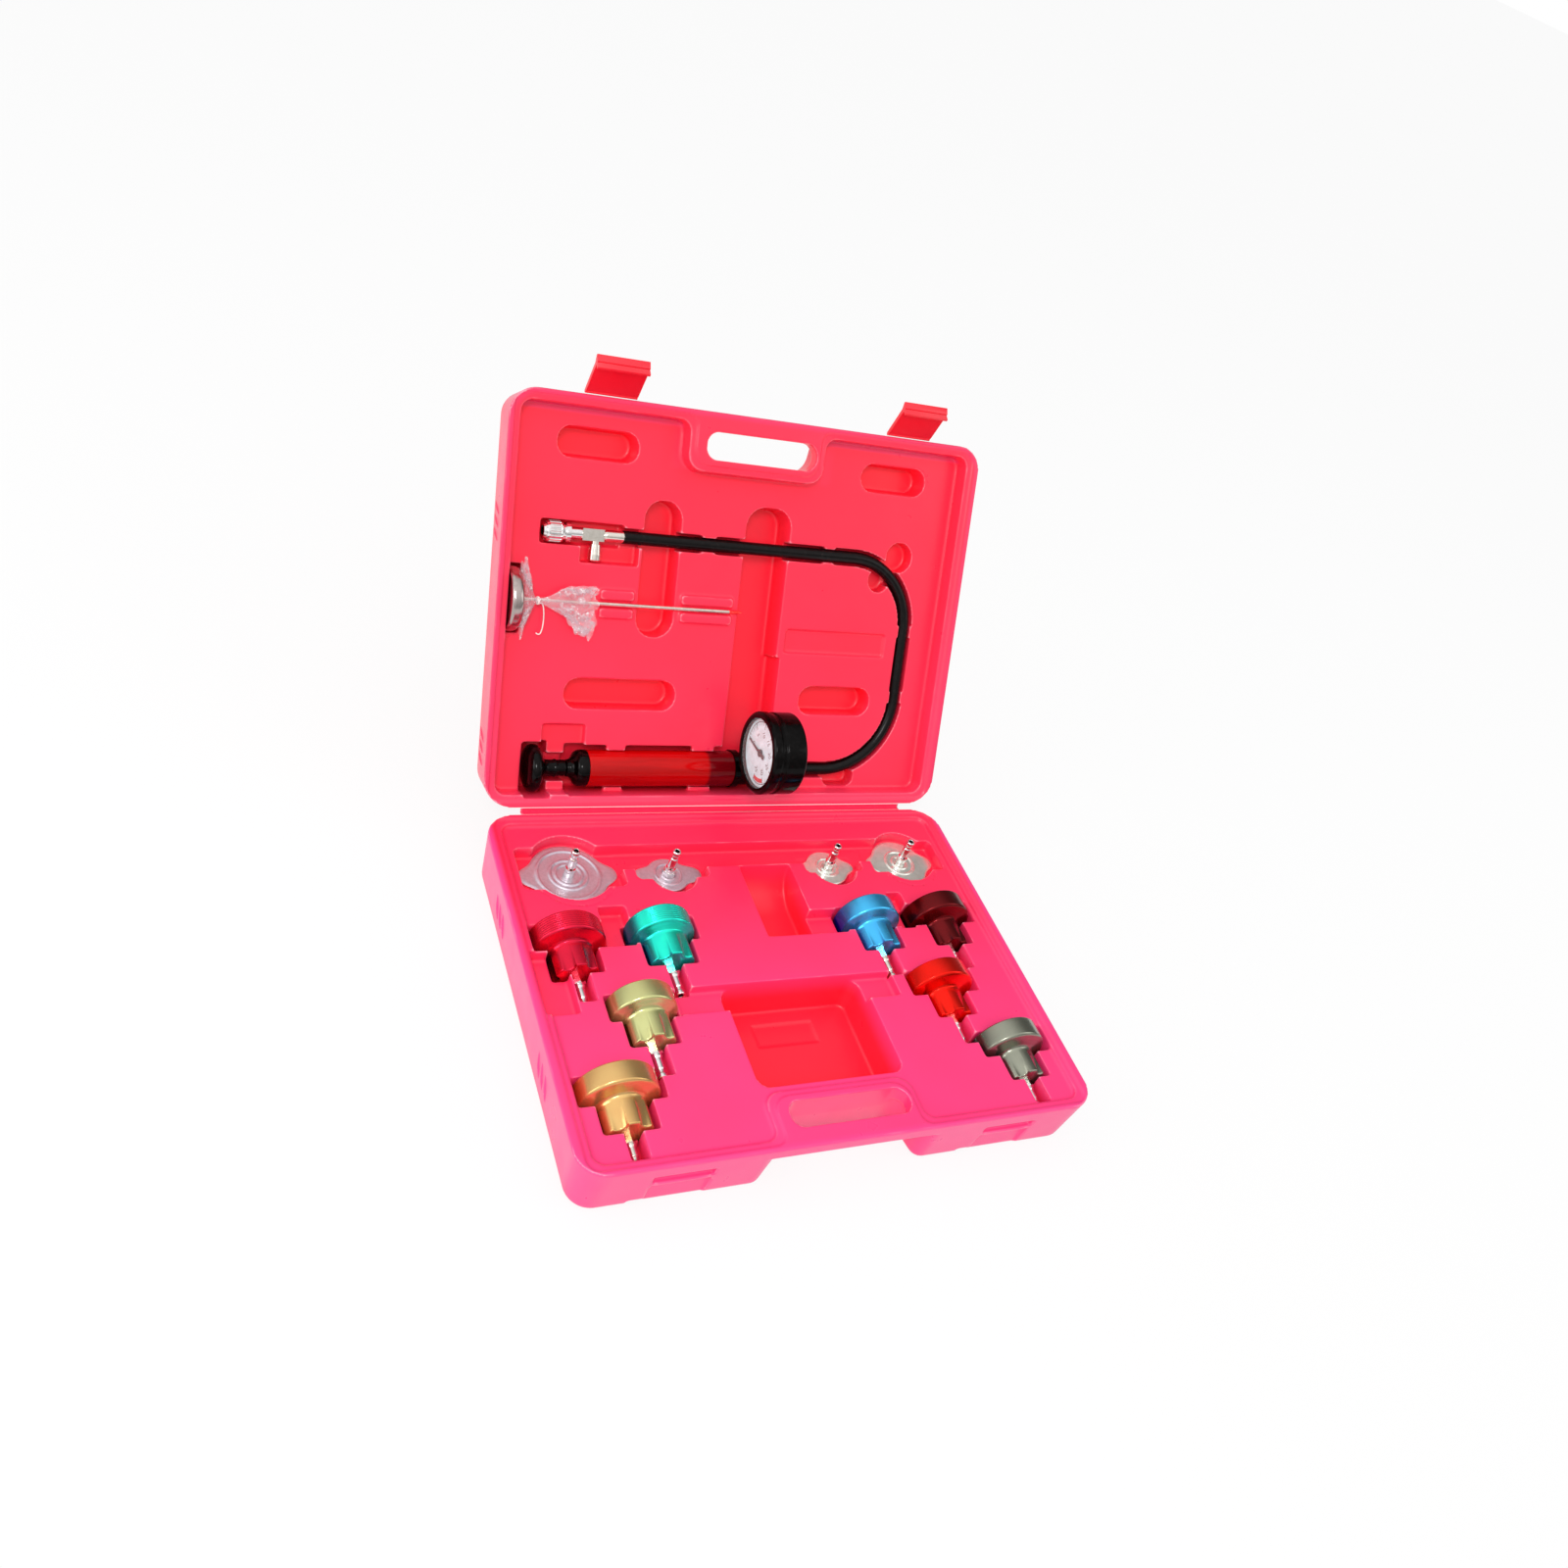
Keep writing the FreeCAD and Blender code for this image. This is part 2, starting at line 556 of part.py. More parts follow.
lid.sink_round("hose_finger", [(138.0, 205.0, 12.0), (121.7, 185.8, 9.5)],
               size.lid_panel + 12)

# small nubs that keep the hose, the pump and the thermometer's stem in their channels
nub_low = size.pump_sink + 1
nub_tall = nub_low - size.lid_panel
hose_touch = size.hose_radius + size.seat_gap
nubs = []
for left, right in ((-35.4, -24.2), (69.3, 78.5)):
    for way in (-1, 1):
        inner, outer = far_v + way * hose_touch, far_v + way * (channel + 2)
        nubs.append(box_corners(left, right, inner, outer)[::way])
for near, far in ((86.0, 95.0), (141.0, 150.0)):
    for way in (-1, 1):
        inner, outer = right_x + way * hose_touch, right_x + way * (channel + 2)
        nubs.append(box_corners(inner, outer, near, far)[::way])
lid.raise_pads("hose_nubs", nubs, nub_low, nub_tall)
barrel_nubs = []
barrel_touch = size.barrel_radius + size.seat_gap
for left, right in ((-96.4, -81.2), (-26.3, -8.0)):
    barrel_nubs.append(box_corners(left, right, size.pump_v + barrel_touch,
                                   size.pump_v + size.head_radius + knob_gap * 2 + 2))
    barrel_nubs.append(box_corners(left, right, size.pump_v - barrel_touch,
                                   size.pump_v - size.head_radius - knob_gap - 1)[::-1])
lid.raise_pads("barrel_nubs", barrel_nubs, nub_low, nub_tall)
clips = []
for left, right in ((-112.7, -86.3), (-48.6, -5.9)):
    for near in (143.0, 156.3):
        clips.append(box_corners(left, right, near, near + 7, 2.0))
lid.raise_pads("stem_clips", clips, size.lid_panel + 1, 3.4)
lid.body.Placement = lid_frame
base.body.Placement = base_frame


# ---------------------------------------------------------------- hinge web and latches

def hinge_web():
    """The thin web moulded between the two rims, bent round the hinge line."""
    web = new_body("hinge_web")
    section = new_sketch(web, "web_section", "YZ_Plane", lift=size.web_left)
    gap, thick = size.hinge_gap.value, size.web_thick.value
    slope = math.radians(180 - size.lid_open_angle.value)
    along = FreeCAD.Vector(math.cos(slope), math.sin(slope), 0)
    behind = FreeCAD.Vector(math.sin(slope), -math.cos(slope), 0)
    sag = FreeCAD.Vector(math.sin(slope / 2), -math.cos(slope / 2), 0) * (gap * 0.35)
    front_top = FreeCAD.Vector(-gap, 0, 0)
    front_low = FreeCAD.Vector(-gap, -thick, 0)
    back_top = along * gap
    back_low = back_top + behind * thick
    section.addGeometry([
        Part.Arc(front_low, (front_low + back_low) / 2 + sag, back_low),
        Part.LineSegment(back_low, back_top),
        Part.Arc(back_top, (back_top + front_top) / 2 + sag, front_top),
        Part.LineSegment(front_top, front_low)])
    section.addConstraint([Sketcher.Constraint("Block", edge) for edge in range(4)])
    extrude(web, section, "Pad", size.web_right - size.web_left)
    web.Placement = base_frame


def latch(word, middle):
    """One latch, drawn shut: y runs out of the case front and z towards the base."""
    body = new_body(f"latch_{word}")
    section = new_sketch(body, f"latch_{word}_section", "YZ_Plane", lift=-size.latch_width / 2)
    root, thick, long = size.latch_root, size.latch_thick, size.latch_length
    inner = root - thick
    outer = inner + thick
    lip = size.catch_top + size.catch_tall + size.seat_gap * 2 + root
    lip_in = inner - size.lip_reach
    runs(section, [
        (root, 0), (root, root * 2), (outer, root * 4), (outer, long - 5), (outer + 2.2, long),
        (outer + 1.2, long + 1.4), (inner, long - 1), (inner, lip + 2.4), (lip_in, lip + 1.6),
        (lip_in, lip), (inner, lip), (inner, root + 0.5), (-root * 0.7, root * 0.7),
        (-root * 0.7, 0)])
    extrude(body, section, "Pad", size.latch_width)
    barrel = new_sketch(body, f"latch_{word}_root", "YZ_Plane", lift=-size.latch_width / 2)
    circle(barrel, 0, 0, root)
    extrude(body, barrel, "Pad", size.latch_width)
    seat(body, lid_frame, middle, size.case_reach + root + size.seat_gap, -root,
         turned((1, 0, 0), -size.latch_rest.value))


hinge_web()
latch("left", size.latch_left_x)
latch("right", size.latch_right_x)


# ---------------------------------------------------------------- shared forms

def hexagon(body, name, role, flats, tall):
    """A hexagonal nut pad on one of the body's planes."""
    sketch = new_sketch(body, name, role)
    corner = Dim.of(flats) / math.sqrt(3)
    half = Dim.of(flats) / 2
    runs(sketch, [(corner, 0), (corner / 2, half), (-corner / 2, half), (-corner, 0),
                  (-corner / 2, -half), (corner / 2, -half)])
    return extrude(body, sketch, "Pad", tall)


def nipple_profile(length):
    """Stem with the groove near its end that the quick coupler grips."""
    r = size.nipple_radius
    return [(0, 0), (0, r + 0.8), (length * 0.3, r + 0.8), (length * 0.38, r),
            (length * 0.72, r), (length * 0.76, r - 0.7), (length * 0.84, r - 0.7),
            (length * 0.88, r), (length - 0.8, r), (length, r - 0.7), (length, 0)]


def drill(body, name, role, radius, length, onward=True):
    """A bore from the piece's own origin plane, along its normal or against it."""
    sketch = new_sketch(body, name, role)
    circle(sketch, 0, 0, radius)
    return extrude(body, sketch, "Pocket", length, reverse=onward)


# ---------------------------------------------------------------- adapters

def adapter(name):
    """Cup with its grip ring, fluted neck, hexagon nipple and the flat seal in the cup.

    Its own x runs from the mouth of the cup towards the nipple.
    """
    ring, neck, stem = own(name, "ring"), own(name, "neck"), own(name, "stem")
    ring_end = size.ring_length
    neck_start = ring_end + size.shoulder
    neck_end = neck_start + size.neck_length
    cup = ring - size.cup_wall
    body = new_body(f"{name}_adapter")
    turn(body, f"{name}_profile", [
        (size.cup_depth, size.bore_radius), (neck_end, size.bore_radius),
        (neck_end, neck - 1), (neck_end - 1, neck), (neck_start, neck),
        (neck_start, (ring + neck) / 2), (ring_end, ring - 1.2), (ring_end - 0.8, ring),
        (0.6, ring), (0, ring - 0.6), (0, cup), (size.cup_depth, cup)])
    for groove in range(ADAPTERS[name]):
        spot = 2.2 + groove * 2.8 if ADAPTERS[name] > 1 else ring_end - 3.4
        turn(body, f"{name}_groove_{groove}", [
            (spot, ring + 1), (spot, ring - 0.5), (spot + 0.9, ring - 0.5),
            (spot + 0.9, ring + 1)], kind="Groove")
    flute = new_sketch(body, f"{name}_flute", "YZ_Plane", lift=neck_start + 2.5)
    circle(flute, 0, neck + size.flute_radius * 0.45, size.flute_radius)
    cut = extrude(body, flute, "Pocket", size.neck_length, reverse=True)
    spread(body, cut, size.flute_count, "X_Axis")

    nipple = new_body(f"{name}_nipple")
    hexagon(nipple, f"{name}_nut", "YZ_Plane", size.hex_flats, stem * 0.25)
    turn(nipple, f"{name}_stem", nipple_profile(stem))
    drill(nipple, f"{name}_nipple_bore", "YZ_Plane", size.bore_radius, stem)
    seal = new_body(f"{name}_seal")
    rim = cup - size.plunger_gap
    turn(seal, f"{name}_seal_ring", [
        (0, size.bore_radius * 2), (size.adapter_seal, size.bore_radius * 2),
        (size.adapter_seal, rim), (0, rim)])
    along = turned((0, 0, 1), -90)
    x, v, z = own(name, "x"), own(name, "v"), -ring_depth(name)
    seat(body, base_frame, x, -v, z, along)
    seat(nipple, base_frame, x, -(v + neck_end), z, along)
    seat(seal, base_frame, x, -(v + size.cup_depth - size.adapter_seal), z, along)


for name in ADAPTERS:
    adapter(name)


# ---------------------------------------------------------------- bayonet caps

def cap(name):
    """Pressed shell with two ears, the nipple on it and the sprung seal under it.

    Its own z runs up the nipple, with z = 0 on top of the pressed disc.
    """
    disc, ears, plate = own(name, "disc"), own(name, "ears"), size.cap_plate
    skirt = disc - plate * 1.6
    inside = skirt - size.skirt_wall
    bore = size.bore_radius
    shell = new_body(name)
    turn(shell, f"{name}_profile", [
        (bore, 0), (disc * 0.34, 0), (disc * 0.40, 0.8), (disc * 0.52, 0.8),
        (disc * 0.58, 0), (disc * 0.86, 0), (disc, -0.7), (disc, -plate), (skirt, -plate),
        (skirt, -size.skirt_drop), (inside, -size.skirt_drop), (inside, -plate),
        (bore, -plate)], axis="V_Axis")
    wings = new_sketch(shell, f"{name}_wings", lift=-plate)
    tip = size.ear_tip
    round_tip = tip * 0.8
    wide, deep = disc * 0.62, disc * 0.76
    runs(wings, [(ears, -tip, round_tip), (ears, tip, round_tip), (wide, deep), (-wide, deep),
                 (-ears, tip, round_tip), (-ears, -tip, round_tip), (-wide, -deep),
                 (wide, -deep)])
    extrude(shell, wings, "Pad", plate * 0.8)
    drill(shell, f"{name}_bore", "XY_Plane", bore, size.cap_seal_drop, onward=False)
    nipple = new_body(f"{name}_nipple")
    if name == "hex_cap":
        hexagon(nipple, f"{name}_nut", "XY_Plane", size.hex_flats, size.shoulder * 1.6)
    turn(nipple, f"{name}_stem", [(r, z) for z, r in nipple_profile(size.cap_nipple_rise)],
         axis="V_Axis")
    drill(nipple, f"{name}_nipple_bore", "XY_Plane", bore, size.cap_nipple_rise)
    seal = new_body(f"{name}_seal")
    low, rim = -size.cap_seal_drop, inside - 1.0
    turn(seal, f"{name}_seal_profile", [
        (bore, -plate), (bore * 2.2, -plate), (bore * 2.2, low + size.cap_seal_thick),
        (rim, low + size.cap_seal_thick), (rim, low), (bore, low)], axis="V_Axis")
    for piece in (shell, nipple, seal):
        seat(piece, base_frame, own(name, "x"), -own(name, "v"), -size.cap_drop)


for name in CAPS:
    cap(name)


# ---------------------------------------------------------------- hand pump

def pump_piece(label, corners, x, rotation=None):
    """A turned piece on the pump's axis, its own x along that axis."""
    body = new_body(label)
    turn(body, f"{label}_profile", corners)
    seat(body, lid_frame, x, size.pump_v, -size.pump_sink, rotation)
    return body


def hand_pump():
    """Barrel, end cap, plunger with its knob, rod and piston, and the head."""
    length = size.barrel_right - size.barrel_left
    r = size.barrel_radius
    bore = r - size.barrel_wall
    pump_piece("pump_barrel", [(0, bore), (length, bore), (length, r), (0, r)],
               size.barrel_left)
    collar = size.barrel_left - size.collar_left
    rod_hole = size.rod_radius + size.plunger_gap
    pump_piece("pump_end_cap", [
        (0, size.knob_neck), (collar * 0.3, size.knob_neck + 2.2), (collar * 0.62, r - 1, 2.0),
        (collar, r), (collar, rod_hole), (0, rod_hole)], size.collar_left)
    neck = size.collar_left - size.knob_left - size.seat_gap
    k = size.knob_radius
    pump_piece("pump_knob", [
        (0, 0), (0, k - 6), (1.2, k - 2.6), (4.0, k - 0.4), (6.5, k), (9.5, k - 1.4),
        (size.knob_thick, size.knob_neck + 2), (size.knob_thick + 3, size.knob_neck),
        (neck, size.knob_neck), (neck, 0)], size.knob_left)
    rod_left = size.knob_left + neck
    rod_long = size.barrel_right - size.piston_rest - size.piston_thick - rod_left
    pump_piece("pump_rod", [(0, 0), (0, size.rod_radius), (rod_long, size.rod_radius),
                            (rod_long, 0)], rod_left)
    p, thick = bore - size.plunger_gap, size.piston_thick
    pump_piece("pump_piston", [
        (0, 0), (0, p), (thick * 0.35, p), (thick * 0.35, p - 1.6), (thick * 0.65, p - 1.6),
        (thick * 0.65, p), (thick, p), (thick, 0)], rod_left + rod_long)
    long, wide = size.head_length, size.head_radius
    head = pump_piece("pump_head", [
        (0, 0), (0, wide), (5, wide), (6, wide - 2), (long - 8, wide - 2), (long - 5, 7),
        (long, 7), (long, 0)], size.barrel_right, gauge_tilt)
    stem = new_sketch(head, "gauge_stem")
    circle(stem, size.gauge_left + size.gauge_depth / 2 - size.barrel_right, 0,
           size.stem_radius)
    extrude(head, stem, "Pad", size.gauge_arm - size.gauge_radius + size.seat_gap)


gauge_tilt = turned((1, 0, 0), -size.gauge_lean.value)
hand_pump()


# ---------------------------------------------------------------- gauge

def seat_on_gauge(body, offset, roll=0.0):
    """Place a piece on the gauge's own axis, offset back from the rim and rolled about it."""
    angle = math.radians(size.gauge_lean.value)
    arm = size.gauge_arm.value
    seat(body, lid_frame, size.gauge_left + offset, size.pump_v + arm * math.sin(angle),
         arm * math.cos(angle) - size.pump_sink.value,
         gauge_tilt.multiply(turned((1, 0, 0), roll)))


def gauge_piece(label, corners, offset):
    """A turned piece of the gauge; its own x points from the dial to the back."""
    body = new_body(label)
    turn(body, f"{label}_profile", corners)
    seat_on_gauge(body, offset)


def gauge():
    """Rubber-booted case, dial, lens and needle."""
    g, d, sink = size.gauge_radius, size.dial_radius, size.dial_sink
    deep, plate = size.gauge_depth, size.dial_plate
    gauge_piece("gauge_case", [
        (sink + plate, 0), (sink + plate, d), (0, d), (0, g - 1.5), (1.5, g), (7, g),
        (8, g - 1.4), (11, g - 1.4), (12, g - 0.4), (deep - 3, g - 0.4), (deep, g - 4),
        (deep, 0)], 0)
    fit = d - size.plunger_gap
    gauge_piece("gauge_dial", [(0, 0), (0, fit), (plate, fit), (plate, 0)], sink)
    lens = size.lens_thick
    gauge_piece("gauge_lens", [(0, 0), (0, fit), (lens, fit), (lens, 0)], size.seat_gap)
    needle = new_body("gauge_needle")
    blade = new_sketch(needle, "needle_outline", "YZ_Plane")
    runs(blade, [(-1.6, -d * 0.28), (1.6, -d * 0.28), (0.35, d * 0.78), (-0.35, d * 0.78)])
    extrude(needle, blade, "Pad", 0.5)
    hub = new_sketch(needle, "needle_hub", "YZ_Plane")
    circle(hub, 0, 0, 3.0)
    extrude(needle, hub, "Pad", 1.2)
    seat_on_gauge(needle, sink - 1.4, -size.needle_zero.value)


gauge()


# ---------------------------------------------------------------- hose, coupler, release valve

def hose():
    """The rubber hose: three straight runs and two bends in the lid's channel."""
    body = new_body("hose")
    left, end = size.hose_start, size.barrel_right + size.head_length
    drop = size.pump_v - size.hose_v
    spine = new_sketch(body, "hose_path")
    corner = size.hose_right - left
    runs(spine, [(0, 0), (corner, 0, size.hose_bend_far), (corner, drop, size.hose_bend_near),
                 (end - left, drop)], closed=False)
    section = new_sketch(body, "hose_section", "YZ_Plane")
    circle(section, 0, 0, size.hose_radius)
    pipe = body.newObject("PartDesign::AdditivePipe", "hose_pipe")
    pipe.Profile = section
    # three straight runs are edges 1 to 3, the bends between them 4 and 5
    pipe.Spine = (spine, [f"Edge{edge}" for edge in (1, 4, 2, 5, 3)])
    seat(body, lid_frame, left, size.hose_v, -size.pump_sink)


def coupler_piece(label, corners, x):
    """A turned piece on the coupler's axis."""
    body = new_body(label)
    turn(body, f"{label}_profile", corners)
    seat(body, lid_frame, x, size.hose_v, -size.pump_sink)
    return body


def coupler():
    """Quick coupler with its knurled sleeve, the tee behind it and the release button."""
    nose, n = size.nose_left, size.sleeve_radius
    socket, tube = size.nipple_radius + size.seat_gap, size.ferrule_radius
    stop, nut = size.sleeve_right - nose + size.sleeve_stroke, size.nut_right - nose
    tail, core = size.tee_left - nose, n - 1.6
    coupler_piece("coupler_body", [
        (0, socket), (0, core - 0.8), (1.4, core), (stop, core), (stop, n - 0.4),
        (nut, n - 0.4), (nut, tube), (tail, tube), (tail, 0), (nut, 0), (nut, socket)], nose)
    long = size.sleeve_right - size.sleeve_left
    sleeve = coupler_piece("coupler_sleeve", [
        (0, core + size.plunger_gap), (long, core + size.plunger_gap), (long, n - 0.6),
        (long - 1, n), (1, n), (0, n - 0.6)], size.sleeve_left)
    knurl = new_sketch(sleeve, "sleeve_knurl", "YZ_Plane", lift=2.0)
    circle(knurl, 0, n + 0.25, 0.9)
    cut = extrude(sleeve, knurl, "Pocket", long - 4, reverse=True)
    spread(sleeve, cut, size.knurl_count, "X_Axis")

    tee = new_body("release_tee")
    half, block = size.tee_half, size.tee_right - size.tee_left
    outline = new_sketch(tee, "tee_block", "YZ_Plane")
    runs(outline, box_corners(-half, half, -half, half))
    extrude(tee, outline, "Pad", block)
    end = size.hose_start - size.tee_left
    turn(tee, "hose_ferrule", [(block, 0), (block, tube - 0.8), (block + 2, tube), (end, tube),
                               (end, 0)])
    stub = new_sketch(tee, "valve_stub", "XZ_Plane", lift=half)
    circle(stub, size.button_x - size.tee_left, 0, size.stub_radius)
    extrude(tee, stub, "Pad", size.stub_length)
    seat(tee, lid_frame, size.tee_left, size.hose_v, -size.pump_sink)

    button = new_body("release_button")
    b, long, hole = size.button_radius, size.button_length, size.stub_radius
    deep, hollow = size.stub_length + size.button_stroke, hole + size.plunger_gap
    turn(button, "button_profile", [
        (0, hollow), (0, b - 0.6), (long * 0.6, b), (long - 1, b), (long, b - 1), (long, 0),
        (deep, 0), (deep, hollow)])
    seat(button, lid_frame, size.button_x, size.hose_v - half - size.button_stroke,
         -size.pump_sink, turned((0, 0, 1), -90))


hose()
coupler()


# ---------------------------------------------------------------- dial thermometer

def thermometer_piece(label, corners, x):
    """A turned piece on the thermometer's stem axis."""
    body = new_body(label)
    turn(body, f"{label}_profile", corners)
    seat(body, lid_frame, x, size.thermo_v, -size.thermo_sink)


def thermometer():
    """Dial head, probe stem, the sheath on its tip and the pouch round its neck."""
    t, thick = size.thermo_radius, size.thermo_thick
    thermometer_piece("thermometer_head", [
        (0, 0), (0, t - 4), (0.8, t - 1.5), (2.5, t), (thick - 3, t), (thick - 1, t - 2.5),
        (thick, t - 9), (thick, 0)], size.thermo_left)
    left, thin, neck = size.thermo_left + thick, size.stem_thin, size.stem_collar
    probe = size.sheath_left - left
    thermometer_piece("thermometer_stem", [
        (0, 0), (0, neck), (6, neck), (6, thin), (probe, thin), (probe, 0)], left)
    tip = size.stem_right - size.sheath_left
    thermometer_piece("thermometer_sheath", [
        (0, 0), (0, thin - 0.2), (tip - 3, thin - 0.3), (tip, 0.6), (tip, 0)],
        size.sheath_left)
    pouch = new_body("thermometer_pouch")
    outline = new_sketch(pouch, "pouch_outline")
    long, wide = size.bag_right - left, size.bag_half
    runs(outline, [(1, -wide * 0.5), (long * 0.35, -wide * 0.3), (long, -wide), (long, wide),
                   (long * 0.35, wide * 0.4), (1, wide * 0.6)])
    extrude(pouch, outline, "Pad", size.bag_thick)
    seat(pouch, lid_frame, left, size.thermo_v, neck + size.seat_gap - size.thermo_sink)


thermometer()
doc.recompute()


# ---------------------------------------------------------------- checks and files

for thing in doc.Objects:
    if "Invalid" in thing.State or "Error" in thing.State:
        raise RuntimeError(f"{thing.Name} failed: {thing.State}")
for body in nodes:
    shape = body.Shape
    if shape.isNull() or not shape.isValid() or len(shape.Solids) != 1:
        raise RuntimeError(f"{body.Label} has no single valid solid")
os.makedirs("parts", exist_ok=True)
for body in nodes:
    body.Shape.exportStep(os.path.join("parts", f"{body.Label}.step"))
print(f"{len(nodes)} nodes written")
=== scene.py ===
import math

import bmesh
import bpy
import numpy as np
from mathutils import Matrix, Vector


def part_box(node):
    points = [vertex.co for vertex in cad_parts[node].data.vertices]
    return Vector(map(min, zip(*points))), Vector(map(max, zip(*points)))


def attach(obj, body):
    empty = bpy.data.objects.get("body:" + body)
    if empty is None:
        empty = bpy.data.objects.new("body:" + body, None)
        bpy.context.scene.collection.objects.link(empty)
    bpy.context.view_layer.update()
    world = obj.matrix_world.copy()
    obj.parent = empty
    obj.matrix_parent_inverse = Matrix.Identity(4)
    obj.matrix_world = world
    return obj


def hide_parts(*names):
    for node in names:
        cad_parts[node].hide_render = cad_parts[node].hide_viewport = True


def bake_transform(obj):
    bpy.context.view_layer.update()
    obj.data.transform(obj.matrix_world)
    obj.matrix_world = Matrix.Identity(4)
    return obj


# Radiator pressure tester kit: the finish and fine shapes of its case, adapters, caps, pump,
# gauge, hose and thermometer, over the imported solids. Profiles are in millimetres.

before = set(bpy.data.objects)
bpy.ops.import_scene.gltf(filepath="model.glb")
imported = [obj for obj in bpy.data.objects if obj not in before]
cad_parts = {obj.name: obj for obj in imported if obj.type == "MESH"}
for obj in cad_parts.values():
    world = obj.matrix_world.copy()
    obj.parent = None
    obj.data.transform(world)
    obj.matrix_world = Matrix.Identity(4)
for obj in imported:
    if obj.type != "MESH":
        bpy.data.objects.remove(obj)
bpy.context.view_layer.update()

MM = 0.001
# the lid's own frame: x along the hinge, v up the lid, h out of its panel
LID_DEGREES = 60.6
LID_TILT = math.radians(LID_DEGREES)
HINGE = np.array([0.0, 0.15035, 0.046])
UP_LID = np.array([0.0, math.cos(LID_TILT), math.sin(LID_TILT)])
OFF_LID = np.array([0.0, -math.sin(LID_TILT), math.cos(LID_TILT)])
# the case in metres: half its width, a half's reach from the hinge, its front corners
HALF_WIDTH, REACH, FRONT_CORNER = 0.1925, 0.2979, 0.020
HINGE_GAP = 2.8
BASE_DRAFT, LID_DRAFT = math.radians(4.2), math.radians(6.4)
# the latches' recesses: from where along a half, and from how far under its rim
LATCH_ALONG, LATCH_UNDER = (0.2835, 0.2855), (0.009, 0.012)
# the raised border round the handle: how far from the middle, and from where along a half
GRIP_ACROSS, GRIP_ALONG = (0.070, 0.062), (0.252, 0.258)


# ------------------------------------------------------------------ shader arithmetic

class Flow:
    """A shader value. Arithmetic with it adds Math nodes; a plain number stays a number."""

    def __init__(self, finish, socket):
        self.finish, self.socket = finish, socket

    def math(self, operation, *others, clamp=False):
        values = dict(enumerate((self, *others)))
        return self.finish.add("ShaderNodeMath", {"operation": operation, "use_clamp": clamp},
                               values)

    def __add__(self, other):
        return self.math("ADD", other)

    __radd__ = __add__

    def __sub__(self, other):
        return self.math("SUBTRACT", other)

    def __rsub__(self, other):
        return (self * -1.0) + other

    def __mul__(self, other):
        return self.math("MULTIPLY", other)

    __rmul__ = __mul__

    def __pow__(self, other):
        return self.math("POWER", other)

    def band(self, low, high):
        """0 below low, 1 above high, smooth between."""
        return self.finish.add("ShaderNodeMapRange", {"interpolation_type": "SMOOTHSTEP"},
                               {"Value": self, "From Min": low, "From Max": high})


class Finish:
    """A material under construction."""

    def __init__(self, name):
        self.material = bpy.data.materials.new(name)
        self.material.use_nodes = True
        self.tree = self.material.node_tree
        self.tree.nodes.clear()
        self.place = self.add("ShaderNodeTexCoord", outlet="Object")

    def add(self, kind, settings=None, inlets=None, outlet=0):
        """Any node: its settings first, then the values or links of its sockets."""
        node = self.tree.nodes.new(kind)
        for word, setting in (settings or {}).items():
            if word == "stops":
                ramp = node.color_ramp.elements
                while len(ramp) < len(setting):
                    ramp.new(0.5)
                for stop, (at, tone) in zip(ramp, setting):
                    stop.position, stop.color = at, (*tone, 1.0)
            else:
                setattr(node, word, setting)
        for word, value in (inlets or {}).items():
            if isinstance(value, Flow):
                self.tree.links.new(value.socket, node.inputs[word])
            else:
                node.inputs[word].default_value = value
        return Flow(self, node.outputs[outlet])

    def noise(self, scale, detail=3.0, rough=0.5, stretch=None):
        """Cloudy noise of a scale per metre, stretched along an axis where asked."""
        where = self.place
        if stretch:
            where = self.add("ShaderNodeMapping", inlets={"Vector": where, "Scale": stretch})
        return self.add("ShaderNodeTexNoise", None, {
            "Vector": where, "Scale": scale, "Detail": detail, "Roughness": rough})

    def bump(self, height, strength, distance, under=None):
        inlets = {"Height": height, "Strength": strength, "Distance": distance}
        if under is not None:
            inlets["Normal"] = under
        return self.add("ShaderNodeBump", None, inlets)

    def mixed(self, mask, first, second):
        """A colour between two others, each a plain colour or a shader value."""
        ends = [tone if isinstance(tone, Flow) else (*tone, 1.0) for tone in (first, second)]
        return self.add("ShaderNodeMix", {"data_type": "RGBA"},
                        {0: mask, 6: ends[0], 7: ends[1]}, outlet=2)

    def along(self, where, direction):
        """How far a place lies along a direction."""
        return self.add("ShaderNodeVectorMath", {"operation": "DOT_PRODUCT"},
                        {0: where, 1: tuple(direction)}, outlet="Value")

    def surface(self, **sockets):
        """The Principled shader, closed to the output."""
        names = {word.replace("_", " ").title().replace("Ior", "IOR"): value
                 for word, value in sockets.items()}
        shader = self.add("ShaderNodeBsdfPrincipled", None, names)
        end = self.tree.nodes.new("ShaderNodeOutputMaterial")
        self.tree.links.new(shader.socket, end.inputs["Surface"])
        return self.material


def linear(red, green, blue):
    """A display colour of 0 to 255 as the linear colour the shader takes."""
    return tuple(((c / 255 + 0.055) / 1.055) ** 2.4 for c in (red, green, blue))


# ------------------------------------------------------------------ finishes

